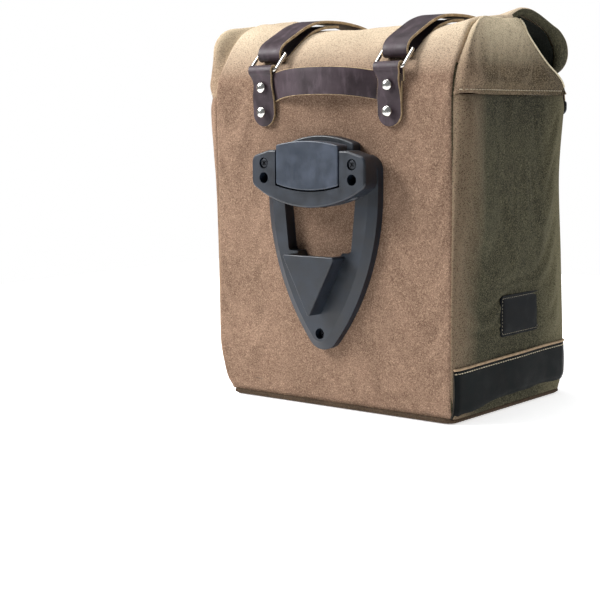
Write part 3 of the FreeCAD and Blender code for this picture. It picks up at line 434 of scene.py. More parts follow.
# Height of the cloth over the crest, as (y, z) from the mounting face to the flap's curled tip:
# between the straps, under a strap, and at the bag's ends, where the roll stands highest.
BETWEEN_STRAPS = ((-107, 318), (-102.5, 342), (-91, 362), (-71, 378), (-47, 388), (-22, 391.5), (-5, 392),
                  (9, 392), (35, 390.5), (60, 386), (82, 379), (98, 371.5), (108, 365), (112.5, 357),
                  (110, 350), (103, 345.5), (92, 343))
UNDER_STRAP = ((-107, 318), (-103.5, 337), (-93, 354.5), (-76, 366.5), (-53, 381.5), (-26, 390.5), (-5, 392),
               (9, 392), (35, 390), (60, 385), (82, 378.5), (98, 371), (107.5, 365), (112, 357),
               (110, 350), (103, 345.5), (92, 343))
CURLED_TIP = ((107, 384.5), (119, 375), (123.5, 364), (121, 355.5), (114, 349), (104, 344), (94, 341))
AT_LEFT_END = ((-109, 318), (-106.5, 336), (-100, 348.5), (-92, 359.5), (-77.5, 378), (-62.5, 391.5),
               (-38, 399.8), (-17, 402.5), (0, 404), (12, 405.5), (26, 407.5), (46, 405.5), (71, 399.5),
               (92, 392)) + CURLED_TIP
AT_RIGHT_END = ((-109, 318), (-106, 338), (-101, 352), (-95, 362), (-88.5, 372), (-81, 383), (-71, 391.5),
                (-45, 396.5), (-20, 397.8), (-3, 399), (9.5, 403), (26, 407), (46, 405), (71, 399),
                (92, 391.5)) + CURLED_TIP
# The rim of the dark hole at each open end of the roll.
HOLE_LINE = ((14, 396), (25, 398), (45, 394.5), (64, 389.8), (80, 382.5), (89, 374), (94, 366), (94.8, 358),
             (92.5, 351), (88, 346.5))
# The side edges are turned in by a half circle of this radius, in this many steps.
HEM = 5.0
ROUND_STEPS = 12
FLAT_HALF = PANEL_HALF - HEM
# The innermost steps of the turned edge are painted darker as shade, in the sheet's third material.
RIM_STEPS = 9
RIM = 2
SECTION_ROWS = 90
PANEL_ROWS = 64


def crest_section(across):
    """The (y, z) line over the crest at one distance across the bag."""
    share = abs(across) / FLAT_HALF
    end = AT_RIGHT_END if across > 0 else AT_LEFT_END
    middle_line = spline(BETWEEN_STRAPS, SECTION_ROWS)
    end_line = spline(end, SECTION_ROWS)
    # The ends' shape comes in late, and later still over the roll.
    late = share ** (1.9 + 4 * smooth(end_line[:, 0], -50, 0))[:, None]
    line = middle_line * (1 - late) + end_line * late
    press = 0.9 * hump(abs(across), STRAP_X, 25)
    return line * (1 - press) + spline(UNDER_STRAP, SECTION_ROWS) * press


def settle(sheet, free, frames=12, farthest=5.0):
    """Lets a sheet sag under its own weight, held where free is 0; no point goes farther than farthest."""
    held = sheet.vertex_groups.new(name="held")
    for index, share in enumerate(np.clip(free, 0, 1)):
        held.add([index], float(1 - share), "REPLACE")
    cloth = sheet.modifiers.new("settling", "CLOTH")
    cloth.settings.quality = 6
    cloth.settings.mass = 0.4
    cloth.settings.tension_stiffness = 40
    cloth.settings.compression_stiffness = 40
    cloth.settings.bending_stiffness = 8
    cloth.settings.shrink_min = -0.004
    cloth.settings.vertex_group_mass = "held"
    cloth.point_cache.frame_end = frames
    for step in range(1, frames + 1):
        bpy.context.scene.frame_set(step)
    count = len(sheet.data.vertices)
    before, after = np.empty(count * 3), np.empty(count * 3)
    sheet.data.vertices.foreach_get("co", before)
    settled = sheet.evaluated_get(bpy.context.evaluated_depsgraph_get())
    settled.data.vertices.foreach_get("co", after)
    moved = (after - before).reshape(-1, 3)
    distance = np.linalg.norm(moved, axis=1)[:, None]
    moved *= np.minimum(1, farthest * MM / np.maximum(distance, 1e-9))
    sheet.modifiers.remove(cloth)
    sheet.vertex_groups.remove(held)
    sheet.data.vertices.foreach_set("co", before + moved.ravel())
    sheet.data.update()
    bpy.context.scene.frame_set(1)


def make_front_sheet():
    """Mounting panel, crest and roll: one hide from the base to the roll's tip.

    Its side edges turn in: a short hem down the panel, and a full round rim at the open ends of the roll.
    """
    bunched = FLAT_HALF * np.sin(np.linspace(-math.pi / 2, math.pi / 2, PANEL_COLUMNS))
    across = 0.35 * bunched + 0.65 * np.linspace(-FLAT_HALF, FLAT_HALF, PANEL_COLUMNS)
    rise = np.linspace(5.5, 318, PANEL_ROWS)[:-1]
    columns = []
    for x in across:
        top = crest_section(x)
        face = PANEL_Y + (top[0, 0] - PANEL_Y) * smooth(rise, 200, 318) + 3.2 * (1 - smooth(rise, 5.5, 14))
        line = np.vstack((np.column_stack((face, rise)), top))
        columns.append(at_x(x, line))
    turns = [turned_edge(columns[place], side) for place, side in ((0, -1), (-1, 1))]
    columns = turns[0][::-1] + columns + turns[1]
    points = np.array(columns).transpose(1, 0, 2)
    flat = points.reshape(-1, 3)
    flat[:, 1] += (cloth_noise(flat, 70, 2.0, 1) + cloth_noise(flat, 26, 0.7, 2)) * free_face(flat)
    flat[:, 2] += (cloth_noise(flat, 55, 3.0, 3) + cloth_noise(flat, 21, 1.1, 4)) * free_crest(flat)
    flat = soft_corner(flat)
    rows, count = points.shape[:2]
    turned_in = np.zeros((rows - 1, count - 1), int)
    # Over the roll and down the panel, the turned edge's inner steps take the suede painted as shade.
    darker = (points[:-1, count // 2, 1] > -8) | (points[:-1, count // 2, 2] < 345)
    turned_in[darker, :RIM_STEPS] = RIM
    turned_in[darker, -RIM_STEPS:] = RIM
    sheet = mesh_object("front_and_roll", flat, grid_faces(rows, count), (BROWN_SUEDE, CUT_SUEDE, RIM_SHADE_SUEDE),
                        turned_in.ravel())
    settle(sheet, free_face(flat) * (1 - smooth(flat[:, 2], 325, 340)))
    thicken(sheet, CLOTH, -1)
    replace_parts(sheet, "mounting_panel", "roll_flap")
    return sheet


def turned_edge(column, side):
    """The columns that carry a side edge round: outside to inside in half a turn."""
    line = column[:, 1:]
    ahead = unit(np.gradient(line, axis=0))
    inward = np.column_stack((ahead[:, 1], -ahead[:, 0]))
    inside = line + inward * 2 * HEM
    rolled = smooth(line[:, 0], 2, 20) * (line[:, 1] > 330)
    rolled = np.maximum.accumulate(rolled)
    begin = int(np.argmax(rolled > 0))
    hole = np.vstack((inside[:begin], spline(HOLE_LINE, len(line) - begin)))
    inside = inside * (1 - rolled[:, None]) + hole * rolled[:, None]
    turned = []
    for angle in np.linspace(0, math.pi, ROUND_STEPS + 1)[1:]:
        share = (1 - math.cos(angle)) / 2
        place = line * (1 - share) + inside * share
        turned.append(np.column_stack((column[:, 0] + side * HEM * math.sin(angle), place)))
    return turned


def off_seams(across):
    """1 over a panel's middle, 0 along its side seams."""
    return 1 - smooth(across, HALF_WIDTH - 14, HALF_WIDTH - 2)


def free_face(points):
    """1 where the mounting panel hangs free, 0 under the holder, tabs and handle and at its seams."""
    x, z = np.abs(points[:, 0]), points[:, 2]
    holder = (1 - smooth(x, 62, 92)) * (1 - smooth(z, 285, 305)) * smooth(z, 38, 62)
    fittings = (1 - smooth(x, 96, 112)) * smooth(z, 270, 290)
    return (1 - holder) * (1 - fittings) * off_seams(x) * smooth(z, 6, 22) * (1 - smooth(z, 330, 360))


def free_crest(points):
    """1 where the crest and roll are free, 0 under the straps and down the panel."""
    x, z = np.abs(points[:, 0]), points[:, 2]
    straps = hump(x, STRAP_X, 22)
    return (1 - 0.92 * straps) * smooth(z, 345, 380)


# The inner turn as (y, z).
INNER_TURN = ((70, 352), (82, 352), (87, 359), (82, 368), (69, 375), (52, 381), (38, 385), (26, 387))


def make_inner_turn():
    """The roll's inner turn, which shows inside its open ends, in suede painted dark as shade."""
    half = HALF_WIDTH - 16
    across = np.linspace(-half, half, 61)
    line = spline(INNER_TURN, 40)
    points = np.array([[(x, y, z + 4 * (abs(x) / half) ** 2.2 * smooth(z, 350, 380)) for x in across]
                       for y, z in line]).reshape(-1, 3)
    points[:, 2] += cloth_noise(points, 40, 1.6, 5)
    sheet = mesh_object("roll_inner_turn", points, grid_faces(len(line), len(across)), (INNER_SHADE_SUEDE,))
    thicken(sheet, LIGHT_CLOTH, 0, rim=False)
    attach(sheet, "flap")


ROLL_CENTRE = np.array((60, 369))
# Each ring of the folds inside the roll: how far it has shrunk towards the centre, and how deep it lies.
ROLL_FOLDS = ((0, 7), (0.1, 12), (0.18, 11), (0.3, 20), (0.42, 18), (0.6, 32), (0.95, 40))


def make_roll_end(name, side):
    """The folds seen through the roll's open end, in suede painted dark as shade."""
    loop = np.vstack((HOLE_LINE, ((66, 350), (44, 364), (26, 378), (14, 389), (14, 396))))
    loop = evenly(loop, 73)[:-1]
    points = []
    for shrink, depth in ROLL_FOLDS:
        ring = loop * (1 - shrink) + ROLL_CENTRE * shrink
        points += [(side * (HALF_WIDTH - depth), y, z) for y, z in ring]
    points = np.array(points, float)
    points[:, 1:] += cloth_noise(points, 22, 1.2, 30 + side)[:, None]
    faces = grid_faces(len(ROLL_FOLDS), len(loop), closed=True)
    folds = mesh_object("roll_folds_" + name, points, faces, (INNER_SHADE_SUEDE,))
    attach(folds, "flap")


# The outer face as (y, z), from the ground to the cross seam, and the collar that slopes up to the mouth.
OUTER_LINE = ((108, 5.5), (112.5, 10), (117, 34), (118, 58), (114.5, 100), (109, 150), (101, 200), (99, 240),
              (101.5, 285), (105.5, 312), (106.5, 320))
COLLAR_LINE = ((106, 322), (104, 329), (95, 335), (86, 341), (66, 352), (47.5, 364))
# How far both turn in at their side seams.
EDGE_ROLL = 5.5


def sew_sheet(name, points, rows, node, cloth, free, thickness, offset):
    """A sheet of suede from a grid of points, settled where it is free, in place of a CAD node."""
    sheet = mesh_object(name, points, grid_faces(rows, len(points) // rows), (cloth, CUT_SUEDE))
    settle(sheet, free)
    thicken(sheet, thickness, offset)
    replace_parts(sheet, node)
    return sheet


def outer_y(z):
    """Where the outer face's line is at each height."""
    line = spline(OUTER_LINE, 400)
    return np.interp(z, line[:, 1], line[:, 0])


def make_outer_sheets():
    """Outer panel and the sloping collar above its cross seam."""
    across = np.linspace(-PANEL_HALF, PANEL_HALF, PANEL_COLUMNS)
    past = np.clip((np.abs(across) - (PANEL_HALF - EDGE_ROLL)) / EDGE_ROLL, 0, 1)
    turned = EDGE_ROLL * (1 - np.sqrt(1 - 0.98 * past ** 2))
    sheets = []
    for name, line, rows, node in (("outer_sheet", OUTER_LINE, 84, "outer_panel"),
                                   ("outer_collar_sheet", COLLAR_LINE, 26, "outer_collar")):
        points = np.array([[(x, y, z) for x in across] for y, z in spline(line, rows)])
        z = points[..., 2]
        below = 1 - smooth(z, 324, 350)
        points[..., 1] -= turned * below + 2.2 * hump(z, SEAM_Z + 1, 4)
        points[..., 2] -= 0.6 * turned * (1 - below)
        flat = points.reshape(-1, 3)
        x, z = np.abs(flat[:, 0]), flat[:, 2]
        anchors = hump(x, STRAP_X, 26) * smooth(z, 190, 205) * (1 - smooth(z, 275, 290))
        free = off_seams(x) * smooth(z, 58, 80) * (1 - smooth(z, 300, 318)) * (1 - anchors)
        flat[:, 1] += (cloth_noise(flat, 80, 3.0, 6) + cloth_noise(flat, 30, 0.9, 7)) * free
        sheets.append(sew_sheet(name, flat, rows, node, BROWN_SUEDE, free, CLOTH, 1))
    return sheets


# Front and back edges of the gusset; above the cross seam, the collar's seam with the crest on each side,
# and the free edge that runs down the mouth's slope.
GUSSET_FRONT = ((-104, 5.5), (-106, 60), (-106, 250), (-106.5, 306), (-106, 320))
GUSSET_BACK = ((106, 5.5), (112, 20), (115.5, 58), (108, 150), (98, 240), (105, 312), (106, 320))
LEFT_SEAM = ((-106, 321), (-103.5, 335), (-97, 346), (-89, 357), (-75, 374.5), (-61, 387.5), (-37, 396),
             (-17, 399.5), (0, 401), (8, 400))
RIGHT_SEAM = ((-106, 321), (-103, 337), (-98, 350), (-92, 360), (-85.5, 369.5), (-78, 380.5), (-69, 388),
              (-45, 393), (-20, 394.5), (-3, 396), (8, 397))
MOUTH_EDGE = ((13, 393), (24, 381.5), (41, 368.5), (65, 352.5), (87.5, 341), (98.5, 333), (104.5, 326),
              (106, 321))
GUSSET_EDGE_X = HALF_WIDTH - 2.4
GUSSET_COLUMNS = 100
COLLAR_ROWS = 46
# The ear: how wide the cloth turns beyond the seam with the crest, and how far it stands out there.
EAR_REACH = 17.0
EAR_SPAN = 30.0
# How full each gusset is, and how far its cross seam pulls it in; the two sides differ, as sewn cloth does.
FULLNESS = {-1: 1.1, 1: 0.85}
PINCH = {-1: 2.4, 1: 4.2}


def pillow(distance, radius):
    """0 at a seam and 1 from radius on, rising as a quarter circle."""
    return np.sqrt(1 - np.clip(1 - distance / radius, 0, 1) ** 2)


def puff(distance):
    """How a gusset swells out behind its seam: steep at first, then easing off."""
    return 0.5 * pillow(distance, EAR_REACH) + 0.5 * smooth(distance, 0, EAR_REACH)


def overhang(distance, height):
    """How far a swelling stands past its own seam."""
    share = np.clip(distance / EAR_SPAN, 0, 1)
    return 4 * height * share * (1 - share)


def ear_height(share, side):
    """How far the ear stands past the seam, by how far along the seam it is."""
    if side < 0:
        return 25 * hump(share, 0.42, 0.25) + 7 * hump(share, 0.75, 0.14)
    return 22 * hump(share, 0.36, 0.33) + 6 * hump(share, 0.8, 0.16)


def gusset_fullness(z, side):
    """How far a gusset stands out behind its front seam: most near the top, little above the foot band."""
    return (2 + 15.5 * smooth(z, 80, 320) ** 1.2) * FULLNESS[side]


def make_gusset(name, side):
    """The gusset below its cross seam: full under the seam, pulled in at every seam."""
    levels = np.linspace(5.5, SEAM_Z, 84)
    front = spline(GUSSET_FRONT, 200)
    back = spline(GUSSET_BACK, 200)
    begin = np.interp(levels, front[:, 1], front[:, 0])
    finish = np.interp(levels, back[:, 1], back[:, 0])
    share = np.linspace(0, 1, GUSSET_COLUMNS)[None]
    y = begin[:, None] * (1 - share) + finish[:, None] * share
    z = np.repeat(levels[:, None], GUSSET_COLUMNS, axis=1)
    from_front = y - begin[:, None]
    from_back = finish[:, None] - y
    fullness = gusset_fullness(z, side)
    y = y - overhang(from_front, ear_height(0, side)) * smooth(z, 200, 320)
    x = GUSSET_EDGE_X + fullness * puff(from_front) * (1 - 0.6 * smooth(from_front, 24, 100))
    x += 2.0 * pillow(from_front, 5)
    x -= (0.4 * fullness + 1.5) * (1 - pillow(from_back, 10))
    x -= PINCH[side] * hump(z, SEAM_Z, 7) * pillow(from_front, 14) * pillow(from_back, 12)
    x -= 4.0 * hump(z, 300, 17) * smooth(from_front, 14, 60) * smooth(from_back, 6, 40)
    points = np.column_stack((x.ravel(), y.ravel(), z.ravel()))
    free = (smooth(from_front, 6, 26) * smooth(from_back, 6, 26) * smooth(z, 62, 90)
            * (1 - smooth(z, 306, 319))).ravel()
    wave = cloth_noise(points, 66, 7.5, 10 + side) + cloth_noise(points, 26, 2.2, 12 + side)
    # The cloth is flat under the label.
    label = hump(points[:, 1], 19, 42) * hump(points[:, 2], 97, 30) * (side > 0)
    free = free * (1 - 0.95 * label)
    points[:, 0] += wave * free
    points[:, 0] *= side
    # The right gusset takes the suede with shade painted into it.
    cloth = BROWN_SUEDE if side < 0 else GUSSET_SHADED_SUEDE
    return sew_sheet("gusset_sheet_" + name, soft_corner(points), len(levels), "gusset_" + name, cloth, free,
                     LIGHT_CLOTH, -side)


def make_gusset_collar(name, side):
    """The gusset above its cross seam: an ear beside the crest, then a free edge down the mouth's slope.

    Returns the sheet, the line of its stitches above the cross seam and its free edge.
    """
    seam = spline(LEFT_SEAM if side < 0 else RIGHT_SEAM, 300)
    mouth = spline(np.vstack((seam[-1:], MOUTH_EDGE)), 200)
    above = evenly(np.vstack((seam, mouth[1:])), GUSSET_COLUMNS)
    below = np.column_stack((np.linspace(-106, 106, GUSSET_COLUMNS), np.full(GUSSET_COLUMNS, SEAM_Z)))
    up = np.repeat((1 - (1 - np.linspace(0, 1, COLLAR_ROWS)) ** 1.5)[:, None], GUSSET_COLUMNS, axis=1)
    place = below[None] * (1 - up[..., None]) + above[None] * up[..., None]
    flat = place.reshape(-1, 2)
    reach = np.linalg.norm(flat[:, None] - seam[None], axis=2)
    nearest = reach.argmin(axis=1)
    from_seam = reach.min(axis=1)
    from_mouth = np.linalg.norm(flat[:, None] - mouth[None], axis=2).min(axis=1)
    from_back = 106 - flat[:, 0]
    ahead = unit(np.gradient(seam, axis=0))
    outward = np.column_stack((-ahead[:, 1], ahead[:, 0]))[nearest]
    swell = ear_height(nearest / len(seam), side) * smooth(from_mouth, 0, 40)
    flat = flat + outward * overhang(from_seam, swell)[:, None]
    fullness = gusset_fullness(np.full(len(flat), SEAM_Z), side)
    x = GUSSET_EDGE_X + fullness * puff(from_seam) * (1 - 0.6 * smooth(flat[:, 0], -82, -6))
    x += 2.0 * pillow(from_seam, 5)
    x -= (0.4 * fullness + 1.5) * (1 - pillow(from_back, 10)) * (1 - up.ravel())
    x -= 2.5 * hump(from_mouth, 0, 8) * smooth(from_seam, 4, 20)
    x -= PINCH[side] * hump(flat[:, 1], SEAM_Z, 7) * pillow(from_seam, 14) * pillow(from_back, 12)
    points = np.column_stack((x, flat))
    free = smooth(from_seam, 4, 24) * smooth(from_mouth, 2, 18) * smooth(points[:, 2], 322, 336)
    wave = cloth_noise(points, 38, 6.5, 14 + side) + cloth_noise(points, 15, 1.3, 16 + side)
    points[:, 0] += wave * free
    points[:, 0] *= side
    # The left collar takes the suede with light painted into it, the right collar the suede with shade
    # painted into it.
    cloth = LEFT_COLLAR_LIT if side < 0 else RIGHT_COLLAR_SHADED
    sheet = sew_sheet("gusset_collar_sheet_" + name, points, COLLAR_ROWS, "gusset_collar_" + name, cloth,
                      free, LIGHT_CLOTH, -side)
    grid = points.reshape(COLLAR_ROWS, GUSSET_COLUMNS, 3)
    stitched = []
    for column in range(3, GUSSET_COLUMNS - 3):
        rise = grid[:, column, 2]
        stitched.append([np.interp(SEAM_Z + 4.5, rise, grid[:, column, axis]) for axis in range(3)])
    edge = grid[-1][(grid[-1, :, 1] > 9) & (grid[-1, :, 1] < 103)]
    return sheet, np.array(stitched), edge


def rounded_ring(half, near, far, corner, count):
    """Evenly spaced points round a rounded rectangle, the same number whatever its size."""
    corner_steps = 8
    ring = []
    for cx, cy, begin in ((half - corner, far - corner, 0), (corner - half, far - corner, 90),
                          (corner - half, near + corner, 180), (half - corner, near + corner, 270)):
        for step in range(corner_steps + 1):
            angle = math.radians(begin + 90 * step / corner_steps)
            ring.append((cx + corner * math.cos(angle), cy + corner * math.sin(angle)))
    return evenly(ring + ring[:1], count + 1)[:-1]


# How far each ring of the base is inside its outline, and its height, from below the middle to its seam.
BASE_RINGS = ((30, 1.2), (14, 0.6), (6, 0.0), (2.6, 0.5), (0.6, 2.2), (1.0, 4.4), (3.2, 6.0), (7, 6.2))
BASE_CORNER = 9


def make_base():
    """The bottom panel: its edge turns up to a seam all round, and it rises a little under the middle."""
    around = 240
    far_edge = high("outer_panel")[1] - 5
    rings = []
    for inset, z in BASE_RINGS:
        ring = rounded_ring(HALF_WIDTH - inset, PANEL_Y + inset, far_edge - inset, BASE_CORNER, around)
        rings.append(np.column_stack((ring, np.full(around, z))))
    points = soft_corner(np.vstack(rings + [[(0, 0, 1.6)]]))
    middle_point = len(points) - 1
    faces = grid_faces(len(rings), around, closed=True)
    faces += [((column + 1) % around, column, middle_point) for column in range(around)]
    base = mesh_object("base_sheet", points, faces, (BASE_SUEDE, CUT_SUEDE))
    thicken(base, 1.6, -1)
    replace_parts(base, "base_panel")
    return base


# -------- foot bands

def band_lower_edge(y):
    """The side band's lower edge: on the ground at the front corner, drawn up towards the back."""
    return 5.5 + 9.5 * smooth(y, -80, 20)


def sew_band(name, points, rows, thickness, offset):
    """A foot band from a grid of points; returns its top row."""
    columns = len(points) // rows
    band = mesh_object("foot_band_" + name, points, grid_faces(rows, columns), (BAND_LEATHER, BAND_EDGE))
    thicken(band, thickness, offset)
    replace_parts(band, "band_" + name)
    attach(band, "bag")
    return points[-columns:]


def make_side_band(name, side):
    """Leather foot guard on a gusset; on the left it begins a little way behind the corner."""
    begin = low("band_right")[1] + (0.5 if side > 0 else 9)
    along = np.linspace(begin, high("outer_panel")[1] - 2, 90)
    rows = 26
    points = []
    for level in np.linspace(0, 1, rows):
        for y in along:
            bottom = band_lower_edge(y)
            top = BAND_HIGH - 2.2 + 2.6 * smooth(y, -100, 110)
            z = bottom + (top - bottom) * level
            x = HALF_WIDTH + 1.7 - 1.6 * (1 - smooth(level, 0, 0.16)) + 1.2 * math.sin(math.pi * level)
            x -= 1.9 * (1 - smooth(y, along[0], along[0] + 7)) + 2.4 * smooth(y, along[-1] - 9, along[-1])
            points.append((x, y, z))
    points = np.array(points)
    points[:, 0] += cloth_noise(points, 52, 1.3, 20 + side)
    points[:, 0] *= side
    return sew_band(name, soft_corner(points), rows, 2.2, -side)


def make_outer_band():
    """The same guard across the outer face."""
    across = np.linspace(-HALF_WIDTH + 2, HALF_WIDTH - 2, 100)
    rows = 24
    points = []
    for level in np.linspace(0, 1, rows):
        z = BAND_LOW + 4 + (BAND_HIGH - BAND_LOW - 3.6) * level
        y = outer_y(z) + 1.9 + 1.0 * math.sin(math.pi * level)
        for x in across:
            points.append((x, y - 4.4 * smooth(abs(x), HALF_WIDTH - 10, HALF_WIDTH - 2), z))
    points = np.array(points)
    points[:, 1] += cloth_noise(points, 60, 1.2, 23)
    return sew_band("outer", points, rows, 2.0, 1)


# -------- tubes, stitches and strips

def directions_across(path):
    """Two directions across a line at each point, which never twist suddenly."""
    ahead = unit(np.gradient(path, axis=0))
    side = np.cross(ahead[0], (0.3, 0.5, 0.81))
    sides = []
    for direction in ahead:
        side = side - direction * (side @ direction)
        side /= np.linalg.norm(side)
        sides.append(side)
    sides = np.array(sides)
    return sides, np.cross(ahead, sides)


def tube(path, radius, around=8):
    """Points and faces of a tube along a line; radius is a number or one number for each point."""
    path = np.asarray(path, float)
    first, second = directions_across(path)
    radius = np.broadcast_to(radius, len(path))
    angles = np.linspace(0, 2 * math.pi, around, endpoint=False)
    points = [path[i] + radius[i] * (math.cos(a) * first[i] + math.sin(a) * second[i])
              for i in range(len(path)) for a in angles]
    return points, grid_faces(len(path), around, closed=True) + end_caps(len(points), around)


def joined(parts):
    """One list of points and one of faces from several."""
    points, faces = [], []
    for part_points, part_faces in parts:
        start = len(points)
        points += list(part_points)
        faces += [tuple(index + start for index in face) for face in part_faces]
    return points, faces


def stitch_line(name, path, out, pitch=4.6, length=3.3, radius=0.55, thread=THREAD):
    """A row of stitches along a line; each one stands out and dips into the cloth at its ends."""
    run = run_of(path)
    lift = np.outer((-0.5, 0.25, 0.42, 0.25, -0.5), out)
    parts = []
    for index in range(int(run[-1] / pitch)):
        steps = (index + 0.2) * pitch + np.linspace(0, length, len(lift))
        places = np.column_stack([np.interp(steps, run, path[:, axis]) for axis in range(3)])
        parts.append(tube(places + lift, radius * np.array((0.6, 1, 1.05, 1, 0.6)), around=6))
    points, faces = joined(parts)
    row = mesh_object(name, points, faces, (thread,))
    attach(row, "bag")


def strip(name, path, half_width, thickness, across=(1, 0, 0), body="bag"):
    """A leather strip along a line, with soft arrises; its cut edges show the raw leather.

    half_width has one number for each point, and across is the direction of its width.
    """
    across = np.broadcast_to(across, path.shape)
    up = unit(np.cross(unit(np.gradient(path, axis=0)), across))
    thick = thickness / 2
    arris = 0.55
    # Its section: how far across, how high, and whether it is on one of the two faces.
    flat_share = (-1.0, -0.6, -0.2, 0.2, 0.6, 1.0)
    section = [(share, -thick, True) for share in flat_share]
    section += [(1.0, -thick + arris, False), (1.0, thick - arris, False)]
    section += [(share, thick, True) for share in reversed(flat_share)]
    section += [(-1.0, thick - arris, False), (-1.0, -thick + arris, False)]
    # The faces round the section that are cut edges.
    edge_faces = (5, 6, 7, 13, 14, 15)
    points = []
    for place, side, lift, half in zip(path, across, up, half_width):
        for share, height, on_face in section:
            reach = share * (half - arris if on_face else half)
            points.append(place + side * reach + lift * height)
    around = len(section)
    faces = grid_faces(len(path), around, closed=True)
    raw = [RAW_EDGE if face % around in edge_faces else 0 for face in range(len(faces))]
    faces += end_caps(len(points), around)
    piece = mesh_object(name, points, faces, (BRIDLE, BRIDLE_EDGE), raw + [RAW_EDGE, RAW_EDGE])
    piece.modifiers.new("normals", "WEIGHTED_NORMAL").keep_sharp = True
    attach(piece, body)
    return piece


def rounded(from_end, full, radius):
    """Half widths of a strip, full but for its rounded end, at distances from that end."""
    left = np.clip(1 - from_end / radius, 0, 1)
    return full * np.sqrt(np.clip(1 - left ** 2, 0.002, 1))


# -------- leather fittings

# The strap as (y, z): from the end of its under layer, round the ring and over the crest to its tail.
STRAP_LINE = ((8, 396.6), (-12, 395.4), (-26, 393.8), (-46, 388.3), (-61, 379.8), (-77, 368.8), (-86, 361.8),
              (-93, 358.4), (-98.5, 358.0), (-101.2, 361.6), (-100.6, 367.2), (-96.5, 372.6), (-89, 377.4),
              (-74, 385.0), (-54.5, 394.0), (-32, 399.6), (-3, 400.8), (20, 399.6), (44, 396.4),
              (66, 391.0), (86, 384.2), (103, 375.8), (114, 366.5), (118.2, 357.0), (117.6, 340), (115, 318),
              (111.5, 280), (107.9, 238))


def make_strap(name, side):
    """Closing strap: its eye is folded round the ring, and its tail hangs down the outer face."""
    path = at_x(side * STRAP_X, spline(STRAP_LINE, 240))
    run = run_of(path)
    half = rounded(np.minimum(run, run[-1] - run), STRAP_HALF, 12)
    strap = strip("closing_strap_" + name, path, half, LEATHER, body="strap_" + name)
    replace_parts(strap, "strap_" + name)


# A tab as (y, z): up from its foot, over the ring's lower bar and down behind.
TAB_LINE = ((-109.8, 289.5), (-109.9, 300), (-110.4, 311), (-111.6, 323), (-112.3, 333.5), (-114.6, 341.7),
            (-117.0, 345.9), (-115.6, 350.7), (-111.6, 351.1), (-109.2, 346.7), (-108.4, 340.5),
            (-108.2, 333.5))


def make_tab(name, side):
    """Riveted tab: folded over the ring's lower bar, narrower below it, with a rounded foot."""
    path = at_x(side * STRAP_X, spline(TAB_LINE, 110))
    run = run_of(path)
    half = rounded(run, 14.4, 14) * (1 - 0.14 * hump(run, 44, 9)) + 1.2 * smooth(run, 48, 58)
    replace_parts(strip("strap_tab_" + name, path, half, LIGHT_LEATHER), "tab_" + name)


def make_handle():
    """Carry handle: arched up and bowed out between the tabs."""
    count = 120
    reach = high("carry_handle")[0]
    bow = -low("carry_handle")[1] + PANEL_Y - LEATHER / 2 - 0.6
    foot_z = middle("carry_handle")[2]
    across = np.linspace(-reach, reach, count)
    share = np.clip(1 - (across / (STRAP_X - STRAP_HALF)) ** 2, 0, 1)
    rise = 8.5 * np.clip(1 - (np.abs(across) / (STRAP_X - 4)) ** 2.6, 0, 1)
    y = PANEL_Y - 1.8 - bow * share ** 0.8
    path = np.column_stack((across, y, foot_z + rise))
    slope = np.gradient(path[:, 2]) / np.gradient(path[:, 0])
    widths = unit(np.column_stack((-slope, np.zeros(count), np.ones(count))))
    handle = strip("grab_handle", path, np.full(count, 14.0), LIGHT_LEATHER, across=widths)
    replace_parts(handle, "carry_handle")


def make_anchor(name, side):
    """Leather anchor that carries the strap's magnet seat on the outer face."""
    lowest, highest = low("anchor_" + name), high("anchor_" + name)
    z = np.linspace(lowest[2], highest[2], 60)
    y = outer_y(z) + 1.6 + (highest[1] - 103.2) * smooth(z, 235, 262)
    path = at_x(side * STRAP_X, np.column_stack((y, z)))
    run = run_of(path)
    half = rounded(np.minimum(run, run[-1] - run), (highest - lowest)[0] / 2, 13)
    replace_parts(strip("strap_anchor_" + name, path, half, LEATHER), "anchor_" + name)


def make_corner_loop(name):
    """Small loop that holds a corner ring in the cross seam."""
    centre = middle("corner_loop_" + name)
    lowest, highest = low("corner_loop_" + name), high("corner_loop_" + name)
    bar_z = lowest[2] + 3.8
    line = spline(((lowest[1] + 0.8, highest[2]), (lowest[1] + 1.4, bar_z + 6),
                   (lowest[1] + 2.2, bar_z + 1.6), (centre[1] + 0.4, bar_z - 2.9),
                   (highest[1] - 0.8, bar_z + 1.0), (highest[1] - 1.6, bar_z + 6),
                   (highest[1] - 2.6, highest[2])), 50)
    half = np.full(len(line), (highest - lowest)[0] / 2)
    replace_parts(strip("ring_loop_" + name, at_x(centre[0], line), half, 1.5), "corner_loop_" + name)


# How far each ring of the label is inside its outline, and how far it stands out.
LABEL_RINGS = ((0.0, 0.0), (0.0, 1.3), (0.5, 1.9), (1.4, 2.0), (2.6, 1.5), (3.4, 2.0), (5.0, 2.5),
               (12.0, 2.7))
# The ring of the sunk border, where the stitches are.
LABEL_BORDER = 4


def make_label():
    """Blank padded leather patch with a sunk border, sewn to the right gusset."""
    around = 160
    centre = middle("label_patch")
    half_y, half_z = (high("label_patch") - low("label_patch"))[1:] / 2
    rows = []
    for inset, proud in LABEL_RINGS:
        corner = max(4.5 - inset, 1.2)
        ring = rounded_ring(half_y - inset, -half_z + inset, half_z - inset, corner, around)
        rows.append(at_x(HALF_WIDTH - 0.6 + proud, ring + centre[1:]))
    points = np.vstack(rows + [[(HALF_WIDTH + 2.2, centre[1], centre[2])]])
    faces = grid_faces(len(rows), around, closed=True)
    last = len(points) - 1
    start = last - around
    faces += [(start + column, start + (column + 1) % around, last) for column in range(around)]
    patch = mesh_object("blank_label_patch", points, faces, (PATCH_LEATHER,))
    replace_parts(patch, "label_patch")
    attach(patch, "bag")
    border = rows[LABEL_BORDER]
    stitch_line("label_stitches", np.vstack((border, border[:1])) + (0.1, 0, 0), (1, 0, 0), pitch=3.6,
                length=2.5, radius=0.36, thread=DULL_THREAD)


# -------- seams

